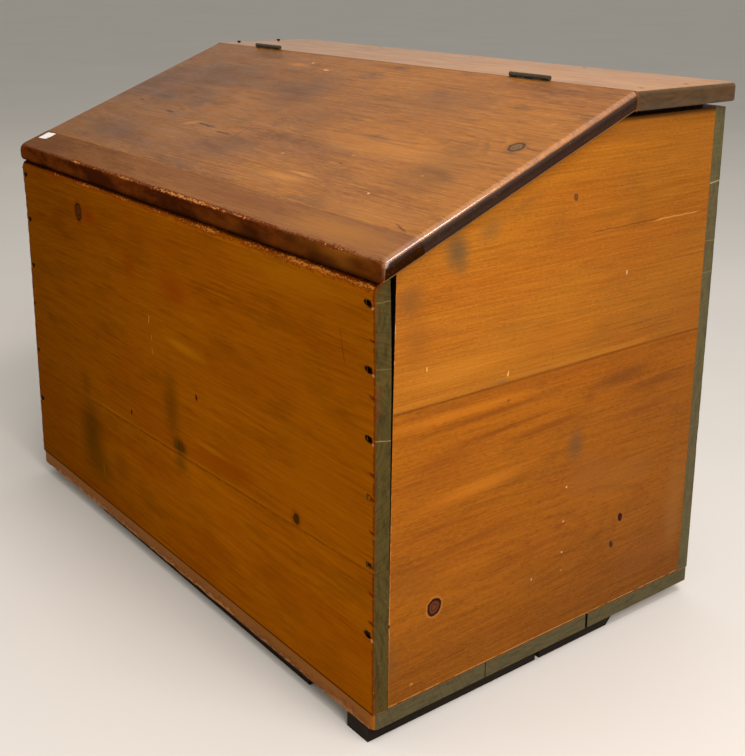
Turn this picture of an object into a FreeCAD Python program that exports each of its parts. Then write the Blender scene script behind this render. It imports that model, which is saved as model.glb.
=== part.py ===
import FreeCAD, Part

import math
import os

# A slope-front grain ark in wide pine boards. Millimetres, +Z up, front towards -Y.
# The origin is on the ground, under the middle of the whole chest.

# Carcass
body_length = 1000.0          # over the ends of the front and back boards
body_depth = 605.0            # front face to back face
top_height = 773.0            # ground to the upper face of the fixed top
lid_front_height = 614.0      # ground to the lid's upper face at its front edge
front_thick = 23.0
back_thick = 23.0
side_thick = 22.0
bottom_thick = 22.0
side_seam_height = 426.0      # ground to the joint between a side's two boards
front_seam_left = 205.0       # the front's joint is cut on a taper
front_seam_right = 233.0
front_cup = 3.8               # the front's upper board has cupped outwards at its top
side_shrink = 3.0             # a side's upper board has drawn back from the front
front_edge_round = 9.0
corner_wear = 10.0            # worn corners of the front bottom board
arris = 1.5                   # softened edges of the other boards
back_board_names = ("lower", "middle", "upper")

# Bottom boards and the skids under them
bottom_front_width = 186.0
bottom_middle_width = 192.0
bottom_front_joint = 1.0
bottom_back_joint = 4.0       # shrinkage gap
skid_thick = 20.0
skid_width = 42.0
skid_inset = 10.0             # from the side's outer face
skid_front_length = 290.0
skid_left_back = 20.0         # the left skid starts that far behind the right one
skid_gap = 8.0
skid_rear_length = 157.0
skid_end_slope = 20.0
front_skid_left = -300.0      # the skid under the front, which lies a little askew
front_skid_right = 350.0
front_skid_left_back = 16.5   # behind the front's face at its left end
front_skid_right_back = 10.5

# Fixed top, standing on cleats
top_depth = 207.5
top_thick = 26.0
top_back_overhang = 5.0
end_overhang = 13.0           # top and lid past the body's ends
shadow_gap = 8.0              # between the top and the edges of the sides and back
edge_round = 6.0
cleat_thick = 25.0
cleat_height = 45.0

# Lid
lid_thick = 26.0
lid_front_board_width = 55.0
lid_gap = 2.0                 # lid to the front board's top edge
joint_gap = 1.2               # lid to fixed top
batten_width = 45.0
batten_thick = 20.0
batten_from_end = 100.0       # end of the body to the batten's middle
batten_front_clear = 10.0     # batten's front end to the inside of the front
batten_rear_clear = 36.0      # batten's rear end to the hinge line, along the lid

# Butt hinges
hinge_left_from_end = 167.0   # end of the body to the hinge's middle
hinge_right_from_end = 177.0
hinge_length = 76.0
knuckle_count = 5
knuckle_gap = 0.3
barrel_radius = 3.3
barrel_lift = 0.3             # barrel clear of the boards under it
pin_radius = 1.5
pin_fit = 0.05                # running fit of the knuckles on the pin
leaf_thick = 1.9
leaf_split = 0.6              # between the two closed leaves
leaf_depth = 21.0             # leaf below the upper faces of the boards

# Hinge screws
screw_length = 16.0
screw_radius = 1.7
screw_head_radius = 3.3
screw_sides = 12              # drawn with flats, not round
screw_slot = 0.8
screw_slot_depth = 0.6
screw_fit = 0.05
screw_end_margin = 10.0       # end of the leaf to its outer screws
screw_drop_outer = 13.0       # below the upper faces of the boards
screw_drop_middle = 17.0

# Cut nails
nail_head_length = 6.5
nail_head_width = 4.5
nail_head_thick = 2.0
nail_shank_length = 3.6
nail_shank_width = 2.6
nail_tip_length = 1.6
long_nail = 60.0
short_nail = 38.0
nail_sink = 1.5               # heads driven below the face
nail_flush = 0.3
nail_proud = 3.0              # the two nails that stand up on the top's left end
front_nail_heights = (150.0, 241.0, 328.0, 400.0, 485.0, 563.0)
nail_edge_margin = 30.0       # a board's edge to its nearest nail

# Worked out from the sizes above
body_end = body_length / 2
lid_end = body_end + end_overhang
depth_overall = front_cup + body_depth + top_back_overhang
front_face = front_cup - depth_overall / 2
back_face = front_face + body_depth
inner_front = front_face + front_thick
inner_back = back_face - back_thick
inner_end = body_end - side_thick
bottom_under = skid_thick
floor_height = bottom_under + bottom_thick
top_back = back_face + top_back_overhang
hinge_line = top_back - top_depth
top_under = top_height - top_thick
side_top = top_under - shadow_gap
lid_slope = math.atan2(top_height - lid_front_height, hinge_line - front_face)
lid_run = math.hypot(top_height - lid_front_height, hinge_line - front_face)
lid_drop = lid_thick / math.cos(lid_slope)
pin_height = top_height + barrel_lift + barrel_radius
hinge_centres = {
    "left": -body_end + hinge_left_from_end,
    "right": body_end - hinge_right_from_end,
}
ends = {"left": -1, "right": 1}


def vec(x, y, z):
    return FreeCAD.Vector(x, y, z)


def board(x_range, y_range, z_range):
    """A plain rectangular board between three pairs of limits."""
    lows = [min(r) for r in (x_range, y_range, z_range)]
    sizes = [max(r) - min(r) for r in (x_range, y_range, z_range)]
    return Part.makeBox(*sizes, vec(*lows))


def outline_x(points, x_range):
    """A shape with an outline of (y, z) points, the same all along X."""
    corners = [vec(min(x_range), y, z) for y, z in points]
    face = Part.Face(Part.makePolygon(corners + corners[:1]))
    return face.extrude(vec(max(x_range) - min(x_range), 0, 0))


def outline_y(points, y_range):
    """A shape with an outline of (x, z) points, the same all along Y."""
    corners = [vec(x, min(y_range), z) for x, z in points]
    face = Part.Face(Part.makePolygon(corners + corners[:1]))
    return face.extrude(vec(0, max(y_range) - min(y_range), 0))


def edges_where(shape, test):
    """The straight edges for which test(direction, middle) holds."""
    found = []
    for edge in shape.Edges:
        start = edge.Vertexes[0].Point
        end = edge.Vertexes[-1].Point
        if start.distanceToPoint(end) > 0 and test(axis_of(end - start), (start + end) / 2):
            found.append(edge)
    return found


def axis_of(direction):
    """The letter of the axis that a direction mostly follows."""
    sizes = {"x": abs(direction.x), "y": abs(direction.y), "z": abs(direction.z)}
    return max(sizes, key=sizes.get)


def near(a, b):
    return abs(a - b) < 0.01


def save(name, solids):
    """Writes one sub-part: a single solid, or a group of separate solids."""
    shape = solids[0] if len(solids) == 1 else Part.makeCompound(solids)
    shape.exportStep("parts/" + name + ".step")


# The lid's two faces, as heights at a distance along Y

def lid_upper(y):
    return lid_front_height + (y - front_face) * math.tan(lid_slope)


def lid_under(y):
    return lid_upper(y) - lid_drop


def on_lid(along, below):
    """The (y, z) point at a distance up the slope from the front and below the upper face."""
    y = front_face + along * math.cos(lid_slope) + below * math.sin(lid_slope)
    z = lid_front_height + along * math.sin(lid_slope) - below * math.cos(lid_slope)
    return (y, z)


# Nails and screws

def cut_nail(length):
    """A nail cut from plate, so its shank tapers one way only. Along -Z from its head's top."""
    head = board(
        (-nail_head_length / 2, nail_head_length / 2),
        (-nail_head_width / 2, nail_head_width / 2),
        (-nail_head_thick, 0),
    )
    shank = outline_y(
        [
            (-nail_shank_length / 2, -nail_head_thick),
            (nail_shank_length / 2, -nail_head_thick),
            (nail_tip_length / 2, -length),
            (-nail_tip_length / 2, -length),
        ],
        (-nail_shank_width / 2, nail_shank_width / 2),
    )
    return head.fuse(shank)


def turn_to(shape, direction):
    """Turns a shape made along -Z so that it points along another axis."""
    down = vec(0, 0, -1)
    if direction.cross(down).Length < 1e-9:
        angle = 0 if direction.z < 0 else 180
        shape.rotate(vec(0, 0, 0), vec(1, 0, 0), angle)
    else:
        shape.rotate(vec(0, 0, 0), down.cross(direction), 90)
    return shape


def drive_nail(face_point, direction, length, sink):
    """A nail through a face and the hole for it, with the head that far below the face."""
    nail = cut_nail(length)
    pocket = board(
        (-nail_head_length / 2, nail_head_length / 2),
        (-nail_head_width / 2, nail_head_width / 2),
        (0, nail_head_thick + abs(sink)),
    )
    hole = nail.fuse(pocket).removeSplitter()
    for shape in (nail, hole):
        turn_to(shape, direction)
        shape.translate(face_point + direction * sink)
    return nail, hole


def screw_ring(radius, z):
    """The corners of the screw's outline at a height."""
    angles = [2 * math.pi * i / screw_sides for i in range(screw_sides)]
    return [vec(radius * math.cos(a), radius * math.sin(a), z) for a in angles]


def between_rings(upper, lower):
    """A solid with flat sides between two rings of as many corners."""
    faces = [Part.Face(Part.makePolygon(ring + ring[:1])) for ring in (upper, lower)]
    for i in range(len(upper)):
        corners = [upper[i - 1], upper[i], lower[i], lower[i - 1]]
        faces.append(Part.Face(Part.makePolygon(corners + corners[:1])))
    return Part.Solid(Part.Shell(faces))


def screw_body(grow):
    """A head that tapers through the leaf's thickness and a blunt shank, along -Z."""
    top = screw_ring(screw_head_radius + grow, 0)
    neck = screw_ring(screw_radius + grow, -leaf_thick)
    tip = screw_ring(screw_radius + grow, -screw_length)
    return between_rings(top, neck).fuse(between_rings(neck, tip))


def countersunk_screw():
    """A slotted wood screw with its head's top at the origin."""
    slot = board(
        (-screw_head_radius, screw_head_radius),
        (-screw_slot / 2, screw_slot / 2),
        (-screw_slot_depth, screw_slot_depth),
    )
    return screw_body(0).cut(slot)


def drive_screw(point, direction):
    screw, hole = countersunk_screw(), screw_body(screw_fit)
    for shape in (screw, hole):
        turn_to(shape, direction)
        shape.translate(point)
    return screw, hole


def bored(shape, holes):
    """A piece with the holes that reach into it."""
    reaching = [h for h in holes if shape.BoundBox.intersect(h.BoundBox)]
    return shape.cut(reaching) if reaching else shape


# Front, sides, back and bottom

def cup_at(z):
    """How far the front's upper board stands out at a height, and the radius of its curve."""
    top = lid_under(inner_front) - lid_gap
    height = top - side_seam_height
    radius = (height ** 2 + front_cup ** 2) / (2 * front_cup)
    rise = max(0.0, z - side_seam_height)
    return radius - math.sqrt(radius ** 2 - rise ** 2), radius


def front_seam(grow=0.0):
    """The (x, z) line of the front's joint, carried past both ends."""
    fall = (front_seam_right - front_seam_left) / body_length
    return [
        (-body_end - grow, front_seam_left - fall * grow),
        (body_end + grow, front_seam_right + fall * grow),
    ]


def front_board_lower():
    left, right = front_seam()
    points = [(-body_end, floor_height), (body_end, floor_height), right, left]
    solid = outline_y(points, (front_face, inner_front))
    outer = edges_where(solid, lambda d, m: d == "z" and near(m.y, front_face))
    return solid.makeFillet(arris, outer)


def front_board_upper():
    """Flat at the bottom, then curving outwards, with its top edge cut to the lid's slope."""
    radius = cup_at(side_seam_height)[1]
    centre_y = inner_front - radius
    above_top = lid_upper(inner_front)
    low = min(front_seam_left, front_seam_right)

    def arc(arc_radius):
        span = above_top - side_seam_height
        middle = math.asin(span / arc_radius) / 2
        points = [
            vec(-body_end, centre_y + arc_radius * math.cos(a), side_seam_height + arc_radius * math.sin(a))
            for a in (0, middle, 2 * middle)
        ]
        return Part.Arc(*points).toShape()

    inner = arc(radius)
    outer = arc(radius - front_thick)
    inner_foot = vec(-body_end, inner_front, low)
    outer_foot = vec(-body_end, front_face, low)
    edges = [
        Part.makeLine(inner_foot, inner.Vertexes[0].Point),
        inner,
        Part.makeLine(inner.Vertexes[-1].Point, outer.Vertexes[-1].Point),
        outer,
        Part.makeLine(outer.Vertexes[0].Point, outer_foot),
        Part.makeLine(outer_foot, inner_foot),
    ]
    face = Part.Face(Part.Wire(Part.__sortEdges__(edges)))
    solid = face.extrude(vec(body_length, 0, 0))

    margin = body_depth
    above = [
        (y, lid_under(y) - lid_gap) for y in (front_face - margin, front_face + margin)
    ]
    above += [(front_face + margin, 2 * top_height), (front_face - margin, 2 * top_height)]
    solid = solid.cut(outline_x(above, (-lid_end, lid_end)))
    left, right = front_seam(grow=end_overhang)
    below = [(left[0], 0), (right[0], 0), right, left]
    solid = solid.cut(outline_y(below, (front_face - margin, front_face + margin)))
    tops = edges_where(solid, lambda d, m: d == "x" and m.z > side_seam_height)
    front_top = min(tops, key=lambda e: e.Vertexes[0].Point.y)
    return solid.makeFillet(front_edge_round, [front_top])


def side_boards(side):
    """A side's two boards: the upper one has the slope, the flat and the drawn-back edge."""
    faces = (side * inner_end, side * body_end)
    lower = board(faces, (inner_front, inner_back), (floor_height, side_seam_height))
    knee = hinge_line - (lid_under(hinge_line) - side_top) / math.tan(lid_slope)
    upper = outline_x(
        [
            (inner_front, side_seam_height),
            (inner_back, side_seam_height),
            (inner_back, side_top),
            (knee, side_top),
            (inner_front + side_shrink, lid_under(inner_front + side_shrink)),
        ],
        faces,
    )
    return lower, upper


def back_boards():
    count = len(back_board_names)
    height = (side_top - floor_height) / count
    boards = []
    for i in range(count):
        low = floor_height + i * height
        solid = board((-body_end, body_end), (inner_back, back_face), (low, low + height))
        outer = edges_where(solid, lambda d, m: d == "z" and near(m.y, back_face))
        boards.append(solid.makeFillet(arris, outer))
    return boards


def bottom_boards():
    """Three boards the long way, with the joints between them as they have shrunk."""
    starts = [front_face]
    stops = [front_face + bottom_front_width]
    starts.append(stops[0] + bottom_front_joint)
    stops.append(starts[1] + bottom_middle_width)
    starts.append(stops[1] + bottom_back_joint)
    stops.append(back_face)
    boards = [
        board((-body_end, body_end), (y0, y1), (bottom_under, floor_height))
        for y0, y1 in zip(starts, stops)
    ]
    worn = edges_where(boards[0], lambda d, m: d == "z" and near(m.y, front_face))
    boards[0] = boards[0].makeFillet(corner_wear, worn)
    worn = edges_where(boards[2], lambda d, m: d == "z" and near(m.y, back_face))
    boards[2] = boards[2].makeFillet(corner_wear / 2, worn)
    return boards


def skids(side):
    """A skid in two lengths, the rear one cut away at its end."""
    outer = body_end - skid_inset
    faces = (side * outer, side * (outer - skid_width))
    start = front_face + (skid_left_back if side < 0 else 0)
    front_end = front_face + skid_front_length
    front = board(faces, (start, front_end), (0, skid_thick))
    rear_start = front_end + skid_gap
    rear_end = rear_start + skid_rear_length
    rear = outline_x(
        [
            (rear_start, 0),
            (rear_end - skid_end_slope, 0),
            (rear_end, skid_thick),
            (rear_start, skid_thick),
        ],
        faces,
    )
    return front, rear


def front_skid():
    """A length of the same stuff along the front, between the side skids."""
    left = front_face + front_skid_left_back
    right = front_face + front_skid_right_back
    corners = [
        vec(front_skid_left, left, 0),
        vec(front_skid_right, right, 0),
        vec(front_skid_right, right + skid_width, 0),
        vec(front_skid_left, left + skid_width, 0),
    ]
    face = Part.Face(Part.makePolygon(corners + corners[:1]))
    return face.extrude(vec(0, 0, skid_thick))


# Fixed top and its cleats

def top_board():
    """Rounded along the back, the ends and the back corners, and square where the lid meets it."""
    front_edge = hinge_line + joint_gap / 2
    solid = board((-lid_end, lid_end), (front_edge, top_back), (top_under, top_height))
    rounded = edges_where(solid, lambda d, m: not near(m.y, front_edge))
    return solid.makeFillet(edge_round, rounded)


def cleats():
    top = top_under
    low = top - cleat_height
    front_end = hinge_line + joint_gap / 2
    found = {}
    for name, side in ends.items():
        faces = (side * inner_end, side * (inner_end - cleat_thick))
        found[name] = board(faces, (front_end, inner_back), (low, top))
    inside = inner_end - cleat_thick
    found["back"] = board((-inside, inside), (inner_back - cleat_thick, inner_back), (low, top))
    return found


# Lid

def lid_front_board():
    """The narrow front board, with its front edge plumb and rounded."""
    seam_top = on_lid(lid_front_board_width, 0)
    seam_under = on_lid(lid_front_board_width, lid_thick)
    points = [
        (front_face, lid_upper(front_face)),
        (front_face, lid_under(front_face)),
        seam_under,
        seam_top,
    ]
    solid = outline_x(points, (-lid_end, lid_end))
    seam = ((seam_top[0] + seam_under[0]) / 2, seam_top[0], seam_under[0])
    rounded = edges_where(solid, lambda d, m: not any(near(m.y, y) for y in seam))
    return solid.makeFillet(edge_round, rounded)


def lid_main_board():
    """The wide board, cut plumb at its rear edge to meet the fixed top."""
    rear = hinge_line - joint_gap / 2
    points = [
        on_lid(lid_front_board_width, 0),
        on_lid(lid_front_board_width, lid_thick),
        (rear, lid_under(rear)),
        (rear, lid_upper(rear)),
    ]
    solid = outline_x(points, (-lid_end, lid_end))
    rounded = edges_where(solid, lambda d, m: d == "y")
    return solid.makeFillet(edge_round, rounded)


def lid_batten(side):
    """A batten across the lid's boards, inside the chest, with its ends cut on a slope."""
    front = (inner_front + batten_front_clear - front_face) / math.cos(lid_slope)
    rear = lid_run - batten_rear_clear
    under = lid_thick + batten_thick
    points = [
        on_lid(front, lid_thick),
        on_lid(front + batten_thick, under),
        on_lid(rear - batten_thick, under),
        on_lid(rear, lid_thick),
    ]
    middle = side * (body_end - batten_from_end)
    faces = (middle - batten_width / 2, middle + batten_width / 2)
    return outline_x(points, faces)


# Hinges

def knuckle_spans(centre):
    """The X limits of the knuckles, the first one the fixed leaf's."""
    pitch = hinge_length / knuckle_count
    start = centre - hinge_length / 2
    return [
        (start + i * pitch + knuckle_gap / 2, start + (i + 1) * pitch - knuckle_gap / 2)
        for i in range(knuckle_count)
    ]


def along_x(radius, x_range):
    length = max(x_range) - min(x_range)
    return Part.makeCylinder(radius, length, vec(min(x_range), hinge_line, pin_height), vec(1, 0, 0))


def hinge_leaf(centre, facing, first):
    """A leaf let into a board's edge, and its knuckles. facing is +1 for the fixed top's leaf."""
    near_face = hinge_line + facing * leaf_split / 2
    far_face = near_face + facing * leaf_thick
    x_range = (centre - hinge_length / 2, centre + hinge_length / 2)
    plate_top = pin_height - barrel_radius
    solid = board(x_range, (near_face, far_face), (top_height - leaf_depth, plate_top))
    spans = knuckle_spans(centre)
    for i in range(first, knuckle_count, 2):
        neck = board(spans[i], (near_face, far_face), (plate_top, pin_height))
        solid = solid.fuse([neck, along_x(barrel_radius, spans[i])])
    for i in range(1 - first, knuckle_count, 2):
        notch = board(spans[i], (near_face, far_face), (plate_top - knuckle_gap, plate_top))
        solid = solid.cut(notch)
    return solid.cut(along_x(pin_radius + pin_fit, x_range)).removeSplitter()


def hinge_pin(centre):
    """A fast pin, as long as the barrel."""
    half = hinge_length / 2
    return along_x(pin_radius, (centre - half, centre + half))


def leaf_mortise(centre, facing):
    """The pocket for a leaf in the edge of its board."""
    far_face = hinge_line + facing * (leaf_split / 2 + leaf_thick)
    x_range = (centre - hinge_length / 2, centre + hinge_length / 2)
    return board(x_range, (hinge_line, far_face), (top_height - leaf_depth, top_height + edge_round))


def leaf_screws(centre, facing):
    """Three screws in a row with the middle one lower, and their holes."""
    face = hinge_line + facing * leaf_split / 2
    reach = hinge_length / 2 - screw_end_margin
    places = (
        (-reach, screw_drop_outer),
        (0, screw_drop_middle),
        (reach, screw_drop_outer),
    )
    pairs = [
        drive_screw(vec(centre + x, face, top_height - drop), vec(0, facing, 0))
        for x, drop in places
    ]
    return [p[0] for p in pairs], [p[1] for p in pairs]


# Where the nails go

def spread(low, high, count):
    """Evenly spaced places between two limits, both included."""
    return [low + (high - low) * i / (count - 1) for i in range(count)]


def front_nails():
    """Down both ends of the front, into the edges of the sides."""
    pairs = []
    x = body_end - side_thick / 2
    for side in ends.values():
        for z in front_nail_heights:
            face = vec(side * x, front_face - cup_at(z)[0], z)
            pairs.append(drive_nail(face, vec(0, 1, 0), long_nail, nail_sink))
    return pairs


def back_nails(boards):
    """Two through each end of each back board."""
    pairs = []
    x = body_end - side_thick / 2
    for solid in boards:
        box = solid.BoundBox
        for side in ends.values():
            for z in (box.ZMin + nail_edge_margin, box.ZMax - nail_edge_margin):
                face = vec(side * x, back_face, z)
                pairs.append(drive_nail(face, vec(0, -1, 0), long_nail, nail_sink))
    return pairs


def bottom_nails(boards):
    """Up through the bottom boards, into the sides, the front and the back."""
    places = []
    x = body_end - skid_inset / 2
    for solid in boards:
        box = solid.BoundBox
        for y in (box.YMin + nail_edge_margin, box.YMax - nail_edge_margin):
            places += [(side * x, y) for side in ends.values()]
    beside_skid = front_skid_left - 3 * nail_edge_margin
    places += [(side * beside_skid, front_face + front_thick / 2) for side in ends.values()]
    places += [(side * body_end / 2, back_face - back_thick / 2) for side in ends.values()]
    return [
        drive_nail(vec(x, y, bottom_under), vec(0, 0, 1), long_nail, nail_flush)
        for x, y in places
    ]


def skid_nails(solids, front):
    """Two up through each length of side skid and three through the front one."""
    places = []
    for solid in solids:
        box = solid.BoundBox
        for y in (box.YMin + nail_edge_margin, box.YMax - skid_end_slope - nail_edge_margin):
            places.append((box.Center.x, y))
    box = front.BoundBox
    for x in spread(box.XMin + nail_edge_margin, box.XMax - nail_edge_margin, 3):
        places.append((x, box.Center.y))
    return [
        drive_nail(vec(x, y, 0), vec(0, 0, 1), short_nail, nail_sink)
        for x, y in places
    ]


def top_nails():
    """Down through the fixed top: two at each end into the sides, a row into the back."""
    pairs = []
    x = body_end - side_thick / 2
    inset = nail_edge_margin + nail_head_width
    for name, side in ends.items():
        sink = -nail_proud if name == "left" else nail_flush
        for y in (hinge_line + inset, hinge_line + top_depth * 0.6):
            face = vec(side * x, y, top_height)
            pairs.append(drive_nail(face, vec(0, 0, -1), long_nail, sink))
    for x in spread(-body_end / 2, body_end / 2, 3):
        face = vec(x, back_face - back_thick / 2, top_height)
        pairs.append(drive_nail(face, vec(0, 0, -1), long_nail, nail_flush))
    return pairs


def cleat_nails(parts):
    """Through the cleats from inside the chest, into the sides and the back."""
    pairs = []
    z = (top_under - cleat_height + side_top) / 2
    for name, side in ends.items():
        box = parts[name].BoundBox
        for y in (box.YMin + 2 * nail_edge_margin, box.YMax - cleat_thick - nail_edge_margin / 2):
            face = vec(side * (inner_end - cleat_thick), y, z)
            pairs.append(drive_nail(face, vec(side, 0, 0), short_nail, nail_flush))
    box = parts["back"].BoundBox
    for x in spread(box.XMin + nail_edge_margin, box.XMax - nail_edge_margin, 4):
        face = vec(x, inner_back - cleat_thick, z)
        pairs.append(drive_nail(face, vec(0, 1, 0), short_nail, nail_flush))
    return pairs


def batten_nails():
    """Up through each batten, square to the lid: one into the front board, three behind it."""
    pairs = []
    first = (lid_front_board_width + (inner_front - front_face) / math.cos(lid_slope)) / 2
    last = lid_run - batten_rear_clear - batten_thick - nail_edge_margin
    for side in ends.values():
        for along in (first + batten_thick / 2, *spread(first + 3 * nail_edge_margin, last, 3)):
            nail, hole = drive_nail(vec(0, 0, 0), vec(0, 0, 1), short_nail, nail_flush)
            y, z = on_lid(along, lid_thick + batten_thick)
            for shape in (nail, hole):
                shape.rotate(vec(0, 0, 0), vec(1, 0, 0), math.degrees(lid_slope))
                shape.translate(vec(side * (body_end - batten_from_end), y, z))
            pairs.append((nail, hole))
    return pairs


def build():
    os.makedirs("parts", exist_ok=True)
    boards = {
        "front_board_lower": front_board_lower(),
        "front_board_upper": front_board_upper(),
        "skid_front": front_skid(),
        "top_board": top_board(),
        "lid_front_board": lid_front_board(),
        "lid_main_board": lid_main_board(),
    }
    skid_solids = []
    for name, side in ends.items():
        lower, upper = side_boards(side)
        boards["side_board_" + name + "_lower"] = lower
        boards["side_board_" + name + "_upper"] = upper
        front, rear = skids(side)
        boards["skid_" + name + "_front"] = front
        boards["skid_" + name + "_rear"] = rear
        skid_solids += [front, rear]
        boards["lid_batten_" + name] = lid_batten(side)
    backs = back_boards()
    for name, solid in zip(back_board_names, backs):
        boards["back_board_" + name] = solid
    bottoms = bottom_boards()
    for name, solid in zip(("front", "middle", "back"), bottoms):
        boards["bottom_board_" + name] = solid
    cleat_solids = cleats()
    for name, solid in cleat_solids.items():
        boards["top_cleat_" + name] = solid

    nails = {
        "front_nails": front_nails(),
        "back_nails": back_nails(backs),
        "bottom_nails": bottom_nails(bottoms),
        "skid_nails": skid_nails(skid_solids, boards["skid_front"]),
        "top_nails": top_nails(),
        "cleat_nails": cleat_nails(cleat_solids),
        "batten_nails": batten_nails(),
    }
    holes = []
    for name, pairs in nails.items():
        save(name, [nail for nail, hole in pairs])
        holes += [hole for nail, hole in pairs]

    screws = {"top": [], "lid": []}
    for name, centre in hinge_centres.items():
        save("hinge_" + name + "_pin", [hinge_pin(centre)])
        for leaf_name, facing, first in (("top", 1, 0), ("lid", -1, 1)):
            solids, screw_holes = leaf_screws(centre, facing)
            screws[leaf_name] += solids
            holes += screw_holes + [leaf_mortise(centre, facing)]
            leaf = bored(hinge_leaf(centre, facing, first), screw_holes)
            save("hinge_" + name + "_" + leaf_name + "_leaf", [leaf])
    for leaf_name, solids in screws.items():
        save("hinge_screws_" + leaf_name, solids)

    for name, solid in boards.items():
        save(name, [bored(solid, holes)])


build()
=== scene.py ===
import math
from collections import namedtuple
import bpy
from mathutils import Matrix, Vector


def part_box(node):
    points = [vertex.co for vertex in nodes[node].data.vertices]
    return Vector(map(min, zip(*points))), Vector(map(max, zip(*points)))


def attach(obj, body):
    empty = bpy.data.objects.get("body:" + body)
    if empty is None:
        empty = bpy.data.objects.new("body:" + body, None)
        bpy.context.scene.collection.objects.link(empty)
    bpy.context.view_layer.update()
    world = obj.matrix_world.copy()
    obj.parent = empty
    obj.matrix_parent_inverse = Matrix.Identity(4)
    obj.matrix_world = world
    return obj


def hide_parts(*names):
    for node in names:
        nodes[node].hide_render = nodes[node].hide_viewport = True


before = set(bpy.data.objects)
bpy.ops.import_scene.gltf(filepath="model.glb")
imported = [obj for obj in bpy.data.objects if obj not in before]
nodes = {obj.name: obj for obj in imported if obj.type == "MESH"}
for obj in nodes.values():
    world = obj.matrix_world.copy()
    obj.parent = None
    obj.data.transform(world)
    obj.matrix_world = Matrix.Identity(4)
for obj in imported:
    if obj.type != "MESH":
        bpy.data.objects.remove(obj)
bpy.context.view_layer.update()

from types import SimpleNamespace

import bmesh
import bpy
from mathutils import Matrix, Vector, kdtree, noise

mm = 0.001
touch = 0.01 * mm             # as near as this counts as touching
lengthwise, crosswise, upright = (1, 0, 0), (0, 1, 0), (0, 0, 1)

# Where the chest's faces lie, taken from its boards
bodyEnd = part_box("back_board_lower")[1].x
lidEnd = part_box("lid_main_board")[1].x
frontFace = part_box("front_board_lower")[0].y
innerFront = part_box("front_board_lower")[1].y
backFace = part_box("back_board_lower")[1].y
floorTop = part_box("bottom_board_front")[1].z
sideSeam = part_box("side_board_right_lower")[1].z
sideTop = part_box("side_board_right_upper")[1].z / mm
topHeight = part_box("top_board")[1].z
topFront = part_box("top_board")[0].y
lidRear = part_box("lid_main_board")[1].y
hingeLine = (topFront + lidRear) / 2

lidShape = {
    "frontHeight": 614 * mm,      # upper face at the front edge
    "thick": 26 * mm,
    "frontBoard": 55 * mm,        # width of the narrow front board, up the slope
    "gap": 2 * mm,                # to the front's top edge
}
lidSlope = math.atan2(topHeight - lidShape["frontHeight"], hingeLine - frontFace)
upSlope = Vector((0, math.cos(lidSlope), math.sin(lidSlope)))
offLid = Vector((0, -math.sin(lidSlope), math.cos(lidSlope)))
lidCorner = Vector((0, frontFace, lidShape["frontHeight"]))


# Camera

cameraSetup = {
    "place": (1.4677, -1.06306, 0.93069),
    "azimuth": 52.065,
    "elevation": 15.103,
    "roll": 0.43,
    "focalLength": 55.725,
    "shiftUp": -0.13776,
}


def placeCamera(setup):
    data = bpy.data.cameras.new("camera")
    data.sensor_width = 36
    data.lens = setup["focalLength"]
    data.shift_y = setup["shiftUp"]
    data.clip_start = 0.05
    data.clip_end = 50
    camera = bpy.data.objects.new("camera", data)
    bpy.context.scene.collection.objects.link(camera)
    turn = Matrix.Rotation(math.radians(setup["azimuth"]), 3, "Z")
    turn @= Matrix.Rotation(math.radians(90 - setup["elevation"]), 3, "X")
    turn @= Matrix.Rotation(math.radians(setup["roll"]), 3, "Z")
    camera.location = setup["place"]
    camera.rotation_euler = turn.to_euler()
    bpy.context.scene.camera = camera


placeCamera(cameraSetup)
print("camera placed")


# Shader node helpers

def addNode(tree, kind, inputs=None, **settings):
    node = tree.nodes.new(kind)
    for key, value in settings.items():
        setattr(node, key, value)
    for key, value in (inputs or {}).items():
        if isinstance(value, bpy.types.NodeSocket):
            tree.links.new(value, node.inputs[key])
        else:
            node.inputs[key].default_value = value
    return node


def calc(tree, operation, *values):
    return addNode(tree, "ShaderNodeMath", dict(enumerate(values)), operation=operation).outputs[0]


def times(tree, product, *others):
    for other in others:
        product = calc(tree, "MULTIPLY", product, other)
    return product


def vectorCalc(tree, operation, *values):
    return addNode(tree, "ShaderNodeVectorMath", dict(enumerate(values)), operation=operation).outputs


def ramp(tree, value, low, high, start=0.0, end=1.0, way="LINEAR"):
    inputs = {"Value": value, "From Min": low, "From Max": high, "To Min": start, "To Max": end}
    return addNode(tree, "ShaderNodeMapRange", inputs, interpolation_type=way).outputs[0]


def fade(tree, value, low, high, start=0.0, end=1.0):
    # a smooth step from start to end as the value goes from low to high
    return ramp(tree, value, low, high, start, end, "SMOOTHSTEP")


def blendColour(tree, amount, under, over, way="MIX"):
    inputs = {0: amount, 6: under, 7: over}
    return addNode(tree, "ShaderNodeMix", inputs, data_type="RGBA", blend_type=way).outputs[2]


def cloud(tree, vector, scales, detail, rough, seed):
    # noise with its own scale along, across and through the board, in waves per metre
    shifted = vectorCalc(tree, "ADD", vectorCalc(tree, "MULTIPLY", vector, scales)[0],
                         (seed, seed * 0.7, seed * 1.3))[0]
    inputs = {"Vector": shifted, "Scale": 1.0, "Detail": detail, "Roughness": rough}
    return addNode(tree, "ShaderNodeTexNoise", inputs).outputs


def tone(red, green, blue):
    # a colour from 0-255 values, as a shader needs it
    def linear(value):
        value /= 255
        return value / 12.92 if value <= 0.04045 else ((value + 0.055) / 1.055) ** 2.4
    return (linear(red), linear(green), linear(blue), 1.0)


def newMaterial(name):
    material = bpy.data.materials.new(name)
    material.use_nodes = True
    tree = material.node_tree
    tree.nodes.clear()
    output = tree.nodes.new("ShaderNodeOutputMaterial")
    shader = tree.nodes.new("ShaderNodeBsdfPrincipled")
    tree.links.new(shader.outputs[0], output.inputs["Surface"])
    return material, tree, shader


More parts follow.
